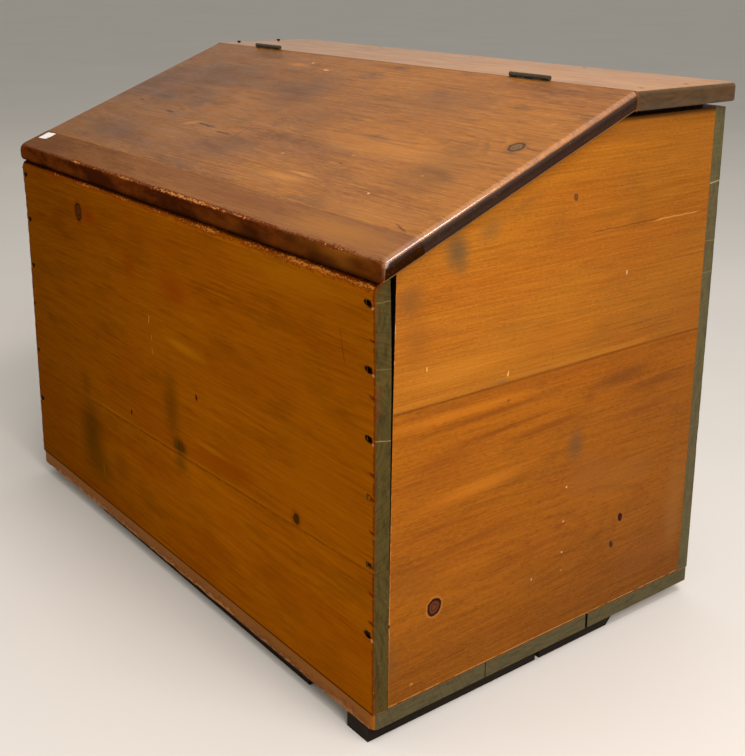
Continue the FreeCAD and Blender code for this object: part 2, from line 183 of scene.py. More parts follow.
# How a board lies: the way of its grain, the way across it, and the corner its places are measured from
faces = {
    "front": {"along": (1, 0, 0), "across": (0, 0, 1), "corner": (0, frontFace, 0)},
    "side": {"along": (0, 1, 0), "across": (0, 0, 1), "corner": (bodyEnd, frontFace, 0)},
    "leftSide": {"along": (0, -1, 0), "across": (0, 0, 1), "corner": (-bodyEnd, frontFace, 0)},
    "back": {"along": (-1, 0, 0), "across": (0, 0, 1), "corner": (0, backFace, 0)},
    "lid": {"along": (1, 0, 0), "across": tuple(upSlope), "corner": tuple(lidCorner)},
    "top": {"along": (1, 0, 0), "across": (0, 1, 0), "corner": (0, topFront, topHeight)},
    "bottom": {"along": (1, 0, 0), "across": (0, 1, 0), "corner": (0, frontFace, floorTop)},
    "skid": {"along": (0, 1, 0), "across": (-1, 0, 0), "corner": (0, frontFace, 0)},
}

# What a board carries, in millimetres on its face: a stain, scratch or chip by its middle and half sizes
spot = namedtuple("spot", "at size tint soft strength turn", defaults=(0,))
# a joint line or a long scratch, by its height at the corner, half width, rise along the board and ends
seam = namedtuple("seam", "height wide strength tint wander rise broken ends endSoft",
                  defaults=(0.0, None, (-2000, 2000), 10))
# a knot, by its middle and half sizes; flow and push say how far the grain bends round it
knot = namedtuple(
    "knot", "at size tint dark rim rimFrom rimStrength halo haloTint haloReach flow push rings",
    defaults=((112, 66, 30), (58, 30, 14), (42, 20, 8), 0.7, 0.9, 0.5, (150, 72, 18), 2.2, (5, 2.2), 14, 3.5),
)


def layBoard(tree, wood):
    # places in metres: x along the grain, y across it, z out of the outer face; and the surface's direction
    face = faces[wood["face"]]
    along, across = Vector(face["along"]), Vector(face["across"])
    turn = Matrix((along, across, along.cross(across)))
    board = SimpleNamespace(tree=tree, wood=wood)
    board.tones = {key: tone(*tint) for key, tint in wood["tones"].items()}
    board.plain = addNode(tree, "ShaderNodeMapping", {
        "Vector": addNode(tree, "ShaderNodeTexCoord").outputs["Object"],
        "Location": -(turn @ Vector(face["corner"])),
        "Rotation": turn.to_euler(),
    }).outputs[0]
    parts = addNode(tree, "ShaderNodeSeparateXYZ", {0: board.plain}).outputs
    board.along, board.across, board.through = parts
    normal = addNode(tree, "ShaderNodeTexCoord").outputs["Normal"]
    turned = addNode(tree, "ShaderNodeMapping", {"Vector": normal, "Rotation": turn.to_euler()}).outputs[0]
    board.normal = addNode(tree, "ShaderNodeSeparateXYZ", {0: turned}).outputs
    # warped a little, so that marks and knots have ragged rims
    rag = cloud(tree, board.plain, (90, 140, 140), 3.0, 0.6, wood["seed"])["Color"]
    rag = vectorCalc(tree, "SUBTRACT", rag, (0.5, 0.5, 0.5))[0]
    rag = vectorCalc(tree, "MULTIPLY", rag, (6 * mm, 5 * mm, 0))[0]
    board.ragged = vectorCalc(tree, "ADD", rag, board.plain)[0]
    board.waver = grain(board, (60, 60, 60), 3.0, 0.6, 8.3)
    return board


def grain(board, scales, detail, rough, shift):
    return cloud(board.tree, board.plain, scales, detail, rough, board.wood["seed"] + shift)["Fac"]


def cover(board, amount, tint):
    board.colour = blendColour(board.tree, amount, board.colour, tint)


def ovalReach(tree, place, at, size, turn=0.0):
    # 0 in the middle of an oval on the board's face, 1 on its rim and more outside
    inputs = {
        "Vector": place,
        "Location": (at[0] * mm, at[1] * mm, 0),
        "Rotation": (0, 0, math.radians(turn)),
        "Scale": (size[0] * mm, size[1] * mm, 1000),
    }
    local = addNode(tree, "ShaderNodeMapping", inputs, vector_type="TEXTURE").outputs[0]
    return vectorCalc(tree, "LENGTH", local)["Value"]


def addSpot(board, place, mark):
    reach = ovalReach(board.tree, place, mark.at, mark.size, mark.turn)
    amount = fade(board.tree, reach, 1 - mark.soft, 1 + mark.soft * 0.3, mark.strength, 0.0)
    cover(board, amount, tone(*mark.tint))


def seamAmount(board, along, line):
    tree = board.tree
    run = calc(tree, "MULTIPLY_ADD", along, line.rise, line.height * mm)
    away = calc(tree, "SUBTRACT", board.across, run)
    away = calc(tree, "ADD", away, ramp(tree, board.waver, 0, 1, -line.wander * mm, line.wander * mm))
    away = calc(tree, "ABSOLUTE", away)
    amount = fade(tree, away, line.wide * mm * 0.3, line.wide * mm, line.strength, 0.0)
    low, high = line.ends[0] * mm, line.ends[1] * mm
    soft = line.endSoft * mm
    amount = times(tree, amount, fade(tree, along, low - soft, low + soft),
                   fade(tree, along, high - soft, high + soft, 1.0, 0.0))
    if line.broken is not None:
        amount = times(tree, amount, fade(tree, board.waver, line.broken - 0.08, line.broken + 0.08))
    return amount


def growRings(board):
    # growth rings of a log that the board was sawn from, bent round its knots
    tree, wood, rings = board.tree, board.wood, board.wood["rings"]
    slow = cloud(tree, board.plain, (1.1, 3.0, 3.0), 2.0, 0.45, wood["seed"] + 3.1)["Color"]
    drift = addNode(tree, "ShaderNodeSeparateColor", {0: slow}).outputs
    wander = rings["wander"] * mm
    sideways = calc(tree, "SUBTRACT", board.across, rings["pith"][0] * mm)
    sideways = calc(tree, "ADD", sideways, ramp(tree, drift[0], 0, 1, -wander, wander))
    deep = calc(tree, "MULTIPLY_ADD", board.along, rings["tilt"], rings["pith"][1] * mm)
    deep = calc(tree, "ADD", deep, ramp(tree, drift[1], 0, 1, -wander, wander))
    deep = calc(tree, "SUBTRACT", deep, board.through)
    radius = calc(tree, "SQRT", calc(tree, "ADD", times(tree, sideways, sideways), times(tree, deep, deep)))
    wave = grain(board, (9, 70, 70), 3.0, 0.55, 7.7)
    radius = calc(tree, "ADD", radius, ramp(tree, wave, 0, 1, -1.6 * mm, 1.6 * mm))
    for eye in wood.get("knots", ()):
        wide = ovalReach(tree, board.plain, eye.at, [size * flow for size, flow in zip(eye.size, eye.flow)])
        lift = calc(tree, "EXPONENT", times(tree, wide, wide, -1.0))
        radius = calc(tree, "MULTIPLY_ADD", lift, eye.push * mm, radius)
    uneven = addNode(tree, "ShaderNodeTexNoise", {"W": times(tree, radius, 55.0), "Scale": 1.0},
                     noise_dimensions="1D").outputs["Fac"]
    phase = calc(tree, "MULTIPLY_ADD", radius, 1 / (rings["spacing"] * mm),
                 ramp(tree, uneven, 0, 1, -1.2, 1.2))
    band = calc(tree, "FRACT", phase)
    ringTone = addNode(tree, "ShaderNodeTexWhiteNoise", {"W": calc(tree, "FLOOR", phase)},
                       noise_dimensions="1D").outputs["Value"]
    board.late = times(tree, fade(tree, band, 0.25, 0.9), fade(tree, band, 0.93, 1.0, 1.0, 0.0),
                       ramp(tree, ringTone, 0, 1, 0.45, 1.0))


def stainGrain(board):
    # fibres, dashes and slow changes of tone
    tree, wood, tones = board.tree, board.wood, board.tones
    board.fibre = grain(board, (7, 520, 520), 3.0, 0.6, 1.3)
    board.broad = grain(board, (3, 11, 11), 3.0, 0.55, 5.9)
    board.patchy = grain(board, (8, 22, 22), 4.0, 0.6, 9.2)
    board.colour = blendColour(tree, times(tree, board.late, wood["rings"]["contrast"]), tones["early"],
                               tones["late"])
    cover(board, fade(tree, board.broad, 0.42, 0.68, 0.0, wood.get("patches", 0.5)), tones["patch"])
    cover(board, fade(tree, board.patchy, 0.5, 0.72, 0.0, wood.get("smoke", 0.25)), tones["deep"])
    dash = grain(board, wood.get("dashScale", (16, 300, 300)), 2.0, 0.5, 12.4)
    thick = grain(board, wood.get("thickScale", (7, 90, 90)), 3.0, 0.6, 14.8)
    dash = calc(tree, "MULTIPLY_ADD", thick, 0.35, times(tree, dash, 0.65))
    cover(board, fade(tree, dash, 0.52, 0.66, 0.0, wood.get("darkDash", 0.3)), tones["dash"])
    cover(board, fade(tree, dash, 0.48, 0.36, 0.0, wood.get("lightDash", 0.25)), tones["light"])
    if "fleck" in wood:
        fleck = grain(board, wood.get("fleckScale", (70, 650, 650)), 2.0, 0.6, 17.9)
        cover(board, fade(tree, fleck, 0.56, 0.68, 0.0, wood["fleck"]), tones["dash"])
        cover(board, fade(tree, fleck, 0.44, 0.32, 0.0, wood["fleck"]), tones["light"])
    depth = wood.get("fibre", 0.1)
    brightness = calc(tree, "ADD", ramp(tree, board.fibre, 0.3, 0.7, -depth, depth), 1.0)
    for axis, low, high, start, end in wood.get("shades", ()):
        place = (board.along, board.across)[axis]
        brightness = times(tree, brightness, fade(tree, place, low * mm, high * mm, start, end))
    gain = addNode(tree, "ShaderNodeCombineXYZ", {0: brightness, 1: brightness, 2: brightness}).outputs[0]
    board.colour = blendColour(tree, 1.0, board.colour, gain, "MULTIPLY")


def addMarks(board):
    wood = board.wood
    for mark in wood.get("marks", ()):
        addSpot(board, board.ragged, mark)
    if "endMarks" in wood:
        fromMiddle = vectorCalc(board.tree, "ABSOLUTE", board.ragged)[0]
        for mark in wood["endMarks"]:
            addSpot(board, fromMiddle, mark)
    for line in wood.get("lines", ()):
        cover(board, seamAmount(board, board.along, line), tone(*line.tint))


def addKnots(board):
    # knots, with their own close rings, a dark rim and a halo
    tree = board.tree
    board.knotDepth = None
    for eye in board.wood.get("knots", ()):
        reach = ovalReach(tree, board.ragged, eye.at, eye.size)
        inner = calc(tree, "FRACT", times(tree, reach, eye.rings))
        heart = blendColour(tree, fade(tree, inner, 0.3, 0.9, 0.1, 0.8), tone(*eye.tint), tone(*eye.dark))
        cover(board, fade(tree, reach, 1.0, eye.haloReach, eye.halo, 0.0), tone(*eye.haloTint))
        cover(board, fade(tree, reach, 0.86, 1.0, 1.0, 0.0), heart)
        rim = times(tree, fade(tree, reach, eye.rimFrom, 0.92),
                    fade(tree, reach, 0.95, 1.12, eye.rimStrength, 0.0))
        cover(board, rim, tone(*eye.rim))
        board.knotDepth = rim if board.knotDepth is None else calc(tree, "MAXIMUM", board.knotDepth, rim)


def coverEnds(board):
    tree, wood, tones = board.tree, board.wood, board.tones
    endFrom = wood.get("endFrom", 0.75)
    board.endOn = fade(tree, calc(tree, "ABSOLUTE", board.normal[0]), endFrom, endFrom + 0.15)
    endTone = blendColour(tree, times(tree, board.late, 0.5), tones["endEarly"], tones["endLate"])
    smoke = grain(board, (30, 45, 160), 4.0, 0.65, 4.4)
    endTone = blendColour(tree, fade(tree, smoke, 0.42, 0.7, 0.0, 0.6), endTone, tones["endDark"])
    speck = grain(board, (60, 500, 500), 3.0, 0.6, 15.5)
    endTone = blendColour(tree, fade(tree, speck, 0.64, 0.76, 0.0, 0.35), endTone, tones["worn"])
    for line in wood.get("endLines", ()):
        endTone = blendColour(tree, seamAmount(board, board.through, line), endTone, tone(*line.tint))
    cover(board, board.endOn, endTone)


def coverNose(board):
    # the lid's front edge: more rubbed towards its right end, with painted shade darkening its foot above the
    # gap to the front board
    tree, nose = board.tree, board.wood["nose"]
    noseTone = blendColour(tree, fade(tree, board.patchy, 0.42, 0.66), tone(*nose["dark"]),
                           tone(*nose["tone"]))
    handled = times(tree, fade(tree, board.along, 50 * mm, 480 * mm, 0.0, 0.75),
                    fade(tree, board.broad, 0.4, 0.56))
    noseTone = blendColour(tree, handled, noseTone, tone(*nose["rubbed"]))
    footShade = fade(tree, board.across, -7 * mm, -10 * mm, 0.0, 0.85)
    noseTone = blendColour(tree, footShade, noseTone, tone(*nose["footShade"]))
    cover(board, fade(tree, board.normal[1], -0.45, -0.8), noseTone)


def coverEdges(board):
    # long edges in tones of their own, each between two places across the board; one of the bottom's is
    # painted shade in the gaps between its boards
    tree, soft = board.tree, 5
    edgeOn = fade(tree, calc(tree, "ABSOLUTE", board.normal[1]), 0.6, 0.9)
    for low, high, strength, tint in board.wood["edges"]:
        here = times(tree, fade(tree, board.across, low * mm, (low + soft) * mm),
                     fade(tree, board.across, high * mm, (high + soft) * mm, strength, 0.0), edgeOn)
        cover(board, here, tone(*tint))


def bareInside(board):
    tree, wood, tones, out = board.tree, board.wood, board.tones, board.normal[2]
    facing = calc(tree, "ABSOLUTE", out) if wood.get("bareTop") else times(tree, out, -1.0)
    board.inside = times(tree, fade(tree, facing, 0.6, 0.8), wood.get("bareInside", 1.0))
    bare = blendColour(tree, times(tree, board.late, 0.7), tones["bareEarly"], tones["bareLate"])
    bare = blendColour(tree, fade(tree, board.patchy, 0.45, 0.75, 0.0, 0.45), bare, tones["bareDark"])
    cover(board, board.inside, bare)


def wearArrises(board):
    # rubbed and chipped where the mesh says so
    tree, wood, tones = board.tree, board.wood, board.tones
    worn = addNode(tree, "ShaderNodeAttribute", attribute_name="worn").outputs["Fac"]
    board.grit = grain(board, wood.get("chipScale", (90, 230, 230)), 4.0, 0.68, 2.2)
    bared = calc(tree, "ADD", worn, ramp(tree, board.grit, 0, 1, -0.75, 0.75))
    rubbed = times(tree, fade(tree, bared, 0.3, 0.5), wood.get("rub", 0.6), fade(tree, worn, 0.02, 0.2))
    cover(board, rubbed, tones["rub"])
    board.chipped = times(tree, fade(tree, bared, 0.58, 0.7), fade(tree, worn, 0.05, 0.25))
    cover(board, times(tree, board.chipped, wood.get("chip", 0.8)), tones["worn"])


def setSheen(board, shader):
    tree, wood, normal = board.tree, board.wood, board.normal
    dull = grain(board, (14, 40, 40), 4.0, 0.65, 6.1)
    unfinished = calc(tree, "MAXIMUM", board.inside, board.chipped)
    unfinished = calc(tree, "MAXIMUM", unfinished, fade(tree, normal[2], 0.05, -0.3))
    if "shinyEnds" in wood:
        polish = times(tree, fade(tree, calc(tree, "ABSOLUTE", normal[0]), 0.15, 0.45, 0.0, 0.9),
                       fade(tree, normal[2], 0.1, 0.35), wood["shinyEnds"])
        tree.links.new(polish, shader.inputs["Coat Weight"])
        shader.inputs["Coat Roughness"].default_value = 0.14
    else:
        unfinished = calc(tree, "MAXIMUM", unfinished, board.endOn)
    rough = calc(tree, "MAXIMUM", ramp(tree, dull, 0.3, 0.7, *wood["rough"]), times(tree, unfinished, 0.72))
    tree.links.new(rough, shader.inputs["Roughness"])
    shader.inputs["Specular IOR Level"].default_value = wood["gloss"]


def setRelief(board, shader):
    tree = board.tree
    height = calc(tree, "MULTIPLY_ADD", board.fibre, 0.35, times(tree, board.late, 0.5))
    height = calc(tree, "MULTIPLY_ADD", board.patchy, 0.5, height)
    height = calc(tree, "MULTIPLY_ADD", times(tree, board.chipped, board.grit), -1.2, height)
    if board.knotDepth is not None:
        height = calc(tree, "MULTIPLY_ADD", board.knotDepth, -1.5, height)
    bump = addNode(tree, "ShaderNodeBump", {"Height": height, "Strength": 0.35, "Distance": 0.6 * mm})
    tree.links.new(bump.outputs[0], shader.inputs["Normal"])


def woodMaterial(name, wood):
    material, tree, shader = newMaterial(name)
    board = layBoard(tree, wood)
    growRings(board)
    stainGrain(board)
    addMarks(board)
    addKnots(board)
    coverEnds(board)
    if "nose" in wood:
        coverNose(board)
    if "edges" in wood:
        coverEdges(board)
    bareInside(board)
    wearArrises(board)
    tree.links.new(board.colour, shader.inputs["Base Color"])
    setSheen(board, shader)
    setRelief(board, shader)
    return material


# Tones shared by the boards, each as 0-255 values
amberTones = {
    "early": (157, 95, 22), "late": (139, 77, 16), "patch": (150, 80, 16), "deep": (100, 62, 24),
    "dash": (116, 62, 10), "light": (176, 112, 30), "worn": (206, 150, 86), "rub": (112, 50, 12),
    "endEarly": (72, 61, 31), "endLate": (54, 45, 22), "endDark": (38, 32, 17),
    "bareEarly": (150, 112, 70), "bareLate": (122, 84, 48), "bareDark": (88, 64, 40),
}
lowTones = dict(amberTones, early=(148, 84, 10), late=(124, 66, 6), patch=(130, 68, 6), deep=(94, 56, 16),
                dash=(100, 50, 7), light=(166, 98, 20))
frontTones = dict(amberTones, early=(145, 79, 3), late=(127, 67, 2), patch=(132, 64, 2), deep=(84, 46, 3),
                  dash=(108, 54, 0), light=(158, 92, 4), worn=(186, 116, 42), rub=(104, 38, 5))
lidTones = dict(amberTones, early=(138, 86, 30), late=(104, 60, 20), patch=(106, 64, 32), deep=(76, 50, 32),
                dash=(74, 40, 15), light=(170, 114, 50), worn=(196, 130, 66), rub=(84, 30, 6),
                endEarly=(40, 18, 5), endLate=(31, 14, 3), endDark=(21, 9, 2))
stripTones = dict(lidTones, early=(122, 82, 52), late=(106, 69, 42), patch=(104, 69, 49), deep=(82, 54, 39),
                  dash=(84, 53, 32), light=(143, 101, 66))
# The fixed top's bare tones are dark: painted shade on its underside, under the overhang
topTones = dict(lidTones, early=(152, 102, 46), late=(126, 78, 32), patch=(128, 82, 42), worn=(170, 128, 84),
                rub=(104, 66, 32), endEarly=(70, 45, 12), endLate=(52, 33, 8), endDark=(36, 22, 5),
                bareEarly=(70, 50, 30), bareLate=(54, 38, 22), bareDark=(40, 28, 18))
backTones = dict(amberTones, early=(140, 98, 56), late=(108, 70, 36), patch=(116, 78, 44), deep=(80, 58, 38),
                 worn=(168, 128, 84), rub=(96, 60, 30), endEarly=(78, 70, 40), endLate=(62, 55, 32),
                 endDark=(52, 45, 28))
# The skids' tones are dark stained wood, darkened further to near black as painted shade standing in for the
# shade under the chest
skidTones = dict(amberTones, early=(30, 22, 16), late=(20, 15, 11), patch=(26, 18, 13), deep=(15, 12, 10),
                 dash=(14, 10, 8), light=(38, 28, 20), worn=(60, 46, 34), endEarly=(34, 27, 20),
                 endLate=(22, 17, 13), endDark=(15, 12, 10))
bareTones = dict(amberTones, early=(112, 82, 50), late=(88, 60, 34), patch=(94, 66, 40), deep=(66, 48, 32),
                 dash=(66, 44, 24), light=(126, 94, 58), endEarly=(60, 44, 28), endLate=(46, 33, 20),
                 endDark=(34, 25, 16))
bottomTones = dict(amberTones, early=(134, 76, 2), late=(112, 60, 1), worn=(170, 114, 62), rub=(96, 48, 12),
                   endEarly=(76, 68, 42), endLate=(62, 55, 34), endDark=(52, 46, 30))
# Painted shade: the side boards' end grain, seen only in the dark gap behind the front board, is painted near
# black
gapShadeEnds = {"endEarly": (14, 10, 6), "endLate": (10, 7, 4), "endDark": (8, 6, 4)}

backJoints = [
    seam(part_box("back_board_" + which)[1].z / mm, 1.3, 0.3, (140, 130, 94), 0.6)
    for which in ("lower", "middle")
] + [
    seam(637, 1.2, 0.6, (158, 148, 110), 1.0, rise=0.1),
    seam(552, 1.0, 0.3, (140, 128, 90), 1.2, rise=-0.05),
]
endCracks = [
    seam(401, 0.8, 0.36, (176, 160, 110), 3.5, rise=0.2),
    seam(487, 0.7, 0.25, (150, 132, 80), 3, rise=0.1),
    seam(470, 5, 0.14, (120, 96, 24), 3),
    seam(566, 0.9, 0.2, (160, 140, 84), 3, rise=0.1),
]
# Rings say where the log's pith lay, across the board and out from its face, and how it leans and wanders, in
# millimetres. Shades darken or brighten from one place to another, along the board (0) or across it (1).
# Scales are in waves per metre along, across and through the board, and the other values are strengths.
frontFinish = {
    "face": "front", "tones": frontTones, "rough": (0.42, 0.58), "gloss": 0.0, "fleck": 0.16, "fibre": 0.12,
    "patches": 0.55, "smoke": 0.3, "darkDash": 0.4, "chipScale": (240, 420, 420),
}
sideFinish = {
    "rough": (0.38, 0.54), "gloss": 0.05, "fibre": 0.15, "chip": 0.5, "darkDash": 0.26, "lightDash": 0.16,
    "fleck": 0.42, "fleckScale": (170, 540, 540),
}
boards = {
    "frontLower": {
        **frontFinish, "seed": 11.0,
        "rings": {"pith": (110, 60), "tilt": 0.05, "wander": 26, "spacing": 6.5, "contrast": 0.3},
        "shades": [(0, -520, 200, 0.58, 1.0), (1, 40, 190, 0.9, 1.0)],
        "marks": [
            spot((34, 208), (22, 18), (66, 44, 6), 0.9, 0.5),
            spot((-276, 146), (52, 84), (52, 35, 2), 0.97, 0.64),
            spot((-236, 100), (44, 40), (62, 42, 2), 0.97, 0.36),
            spot((-170, 130), (34, 30), (92, 46, 2), 0.95, 0.4),
            spot((120, 110), (90, 20), (112, 50, 1), 0.95, 0.4, -4),
            spot((300, 130), (90, 40), (118, 54, 1), 0.95, 0.35, -3),
            spot((-236, 98), (1.6, 14), (132, 88, 20), 0.4, 0.5, 6),
        ],
        "lines": [
            seam(217.8, 1.1, 0.5, (84, 40, 2), 0.6, rise=0.028, broken=0.46),
            seam(43.4, 1.8, 0.8, (48, 22, 2), 0.2),
        ],
    },
    "frontUpper": {
        **frontFinish, "seed": 23.0, "chip": 0.75, "rub": 0.75,
        "rings": {"pith": (395, 70), "tilt": -0.05, "wander": 34, "spacing": 7.0, "contrast": 0.3},
        # The last shade darkens the board's top edge to near black: painted shade in the gap under the lid's
        # front edge
        "shades": [(0, -520, 200, 0.6, 1.0), (1, 300, 590, 0.96, 0.98), (1, 580, 584, 1.0, 0.12)],
        "endLines": endCracks,
        "knots": [
            knot((-277, 533), (11, 14), (86, 48, 15), (46, 22, 7), (34, 15, 3), halo=0.6,
                 haloTint=(96, 34, 2), haloReach=1.8, flow=(6, 2.4), push=9, rings=1.6),
            knot((338, 240), (7, 8), (72, 40, 5), (54, 28, 3), (66, 34, 4), rimStrength=0.5,
                 haloTint=(106, 50, 2), flow=(4, 2), push=5, rings=2.5),
            knot((-121, 238), (2.4, 3.4), (54, 26, 4), (36, 16, 3), halo=0.3, haloTint=(104, 46, 3),
                 flow=(5, 3), push=3, rings=1.0),
            knot((88, 327), (3, 3.6), (54, 26, 4), (36, 16, 3), halo=0.4, haloTint=(104, 44, 3),
                 flow=(5, 3), push=4, rings=1.0),
        ],
        "marks": [
            spot((12, 292), (28, 62), (62, 42, 1), 0.97, 0.5),
            spot((34, 232), (24, 17), (40, 27, 4), 0.8, 0.8),
            spot((26, 234), (1.6, 10), (92, 72, 30), 0.5, 0.7, 14),
            spot((37, 233), (1.4, 8), (92, 72, 30), 0.5, 0.6, 10),
            spot((-290, 236), (22, 30), (70, 44, 2), 0.95, 0.35),
            spot((-240, 533), (26, 18), (118, 42, 3), 0.95, 0.6),
            spot((30, 470), (46, 26), (124, 46, 3), 0.95, 0.55, -8),
            spot((-110, 480), (30, 30), (118, 46, 3), 0.95, 0.4),
            spot((200, 400), (150, 40), (122, 56, 2), 0.95, 0.35, 3),
            spot((170, 250), (80, 20), (124, 52, 1), 0.95, 0.5, 2),
            spot((330, 560), (130, 22), (160, 98, 8), 0.95, 0.45),
            spot((60, 392), (70, 8), (164, 104, 10), 0.9, 0.5, -3),
            spot((120, 260), (60, 5), (158, 100, 12), 0.9, 0.5),
            spot((380, 300), (100, 50), (156, 90, 4), 0.95, 0.3),
            spot((-48, 409), (1.4, 9), (186, 140, 60), 0.4, 0.5, -8),
            spot((-42, 383), (1.2, 5), (186, 140, 60), 0.4, 0.5),
            spot((-41, 362), (1.2, 8), (180, 130, 50), 0.4, 0.4, 6),
        ],
        "lines": [
            seam(220, 1.0, 0.35, (90, 42, 2), 0.6, rise=0.028, broken=0.46),
            seam(223, 3.5, 0.22, (168, 106, 14), 1.5, rise=0.028, ends=(-260, 480), endSoft=80),
            seam(2526, 3, 0.85, (56, 28, 3), 1.2, rise=-4.63, ends=(433.5, 442), endSoft=1),
        ],
    },
    "sideLower": {
        **sideFinish, "face": "side", "seed": 31.0, "tones": {**lowTones, **gapShadeEnds},
        "rings": {"pith": (190, 45), "tilt": 0.08, "wander": 30, "spacing": 6.0, "contrast": 0.34},
        "shades": [(0, 120, 600, 0.86, 0.66), (1, 40, 240, 0.72, 1.0), (1, 320, 424, 1.0, 1.2)],
        "knots": [
            knot((95, 157), (11, 12), (94, 46, 22), (56, 20, 9), (26, 4, 1), rimFrom=0.5, rimStrength=1.0,
                 halo=0.45, haloTint=(180, 116, 50), haloReach=1.4, flow=(6, 2.6), push=16, rings=2.0),
            knot((439, 174), (4.5, 6.5), (52, 10, 3), (30, 5, 2), (30, 6, 2), haloTint=(136, 70, 14),
                 flow=(6, 3), push=8, rings=1.5),
            knot((423, 137), (4, 5), (74, 32, 10), (50, 22, 8), (52, 22, 8), halo=0.6,
                 haloTint=(110, 68, 20), flow=(6, 3), push=6, rings=1.5),
        ],
        "marks": [
            spot((325, 253), (2.2, 1.2), (226, 180, 120), 0.4, 0.7),
            spot((321, 204), (2.2, 1.2), (214, 160, 96), 0.4, 0.6),
            spot((314, 200), (15, 5), (100, 48, 8), 0.9, 0.6),
            spot((330, 190), (8, 3), (100, 48, 8), 0.8, 0.5, 8),
            spot((322, 158), (2, 1.3), (226, 180, 120), 0.4, 0.6),
            spot((265, 136), (1.3, 2.4), (226, 180, 120), 0.4, 0.6),
            spot((322, 130), (1.4, 1.2), (206, 150, 80), 0.4, 0.5),
            spot((338, 310), (18, 27), (92, 62, 34), 0.92, 0.76),
            spot((366, 262), (50, 40), (126, 74, 26), 0.97, 0.5),
            spot((440, 240), (70, 30), (128, 78, 28), 0.97, 0.4),
            spot((360, 372), (16, 9), (100, 50, 12), 0.9, 0.5),
            spot((424, 388), (76, 14), (90, 48, 12), 0.97, 0.66, 3),
            spot((500, 366), (80, 9), (98, 50, 14), 0.95, 0.5, 3),
            spot((480, 330), (90, 8), (104, 52, 12), 0.95, 0.5, 3),
            spot((170, 392), (130, 6), (104, 52, 8), 0.9, 0.6, 1),
            spot((200, 366), (120, 5), (104, 50, 8), 0.9, 0.6, 3),
            spot((280, 350), (90, 6), (100, 50, 8), 0.9, 0.6, 3),
            spot((110, 350), (80, 9), (112, 58, 8), 0.9, 0.5, 2),
            spot((150, 230), (120, 7), (108, 56, 8), 0.9, 0.5, 5),
            spot((90, 262), (70, 6), (112, 58, 8), 0.9, 0.45, 5),
            spot((240, 180), (120, 8), (112, 56, 8), 0.9, 0.45, 3),
            spot((160, 300), (110, 12), (178, 104, 22), 0.95, 0.5, 3),
            spot((120, 405), (150, 8), (176, 104, 24), 0.95, 0.5),
            # A pale line along the board's front arris: a painted highlight
            spot((24, 235), (1.0, 196), (214, 146, 96), 0.7, 0.3),
            spot((210, 402), (4, 2.2), (84, 40, 10), 0.6, 0.6),
            spot((90, 330), (90, 16), (124, 64, 10), 0.95, 0.4),
            spot((60, 200), (70, 22), (118, 68, 16), 0.95, 0.4),
            spot((20, 100), (24, 34), (98, 64, 26), 0.95, 0.5),
            spot((60, 62), (4, 2.4), (190, 126, 56), 0.8, 0.5),
            spot((560, 160), (26, 90), (126, 82, 34), 0.95, 0.45),
            spot((500, 100), (90, 26), (122, 70, 22), 0.95, 0.35),
        ],
        "lines": [
            seam(424.8, 1.3, 0.55, (90, 46, 12), 0.6),
            seam(418, 9, 0.28, (110, 60, 16), 2.5, ends=(60, 600)),
            seam(44.6, 1.1, 0.6, (168, 128, 76), 0.5, broken=0.46),
            seam(42.6, 1.4, 0.7, (50, 30, 12), 0.2),
        ],
    },
    "sideUpper": {
        **sideFinish, "face": "side", "seed": 43.0, "tones": {**amberTones, **gapShadeEnds},
        "rings": {"pith": (560, 50), "tilt": -0.1, "wander": 30, "spacing": 6.0, "contrast": 0.32},
        # The last shade darkens the board's top edge: a painted shadow under the fixed top's overhang
        "shades": [(0, 120, 600, 0.94, 0.7), (1, 426, 540, 0.94, 1.0),
                   (1, sideTop - 8, sideTop - 1, 1.0, 0.25)],
        "knots": [
            knot((313, 647), (4, 4.5), (112, 66, 30), (78, 42, 18), (70, 36, 14), halo=0.4,
                 haloTint=(150, 86, 24), flow=(5, 3), push=5, rings=1.5),
        ],
        "marks": [
            spot((118, 607), (22, 27), (84, 64, 40), 0.9, 0.8, 14),
            spot((126, 588), (12, 14), (100, 70, 36), 0.95, 0.4, 30),
            spot((170, 625), (24, 18), (108, 74, 36), 0.97, 0.55, 30),
            spot((230, 650), (40, 9), (120, 74, 28), 0.95, 0.5, 20),
            spot((50, 560), (24, 22), (108, 68, 28), 0.95, 0.65, 30),
            spot((60, 510), (24, 36), (122, 74, 22), 0.95, 0.5),
            # A pale line along the board's front arris: a painted highlight
            spot((26.6, 520), (0.9, 80), (216, 156, 120), 0.6, 0.6, -1),
            spot((380, 616), (60, 10), (128, 76, 14), 0.95, 0.45, 4),
            spot((440, 604), (24, 12), (112, 66, 20), 0.95, 0.5),
            spot((470, 640), (100, 5), (124, 68, 10), 0.9, 0.5, 3),
            spot((520, 622), (70, 4), (124, 68, 10), 0.9, 0.5, 3),
            spot((400, 720), (80, 14), (118, 70, 22), 0.95, 0.5),
            spot((419, 534), (1.0, 3.4), (236, 206, 170), 0.4, 0.75),
            spot((75, 472), (1.2, 3.6), (220, 180, 110), 0.3, 0.7),
            spot((207, 438), (1.2, 4), (220, 180, 110), 0.3, 0.7),
            spot((196, 430), (10, 2.4), (104, 76, 44), 0.6, 0.6),
            spot((560, 690), (60, 30), (128, 76, 24), 0.95, 0.4),
            spot((300, 470), (120, 22), (150, 84, 14), 0.95, 0.35),
            spot((120, 460), (110, 18), (172, 108, 28), 0.95, 0.45),
        ],
        "lines": [
            seam(427.2, 1.2, 0.4, (112, 60, 16), 0.6),
            seam(432, 4.5, 0.2, (176, 112, 34), 1.5, ends=(0, 470)),
            seam(592, 1.2, 0.7, (82, 42, 12), 2.5, rise=0.0147, ends=(350, 480)),
            seam(590, 1.3, 0.5, (196, 140, 72), 2.5, rise=0.0147, ends=(470, 560)),
        ],
    },
    "leftLower": {
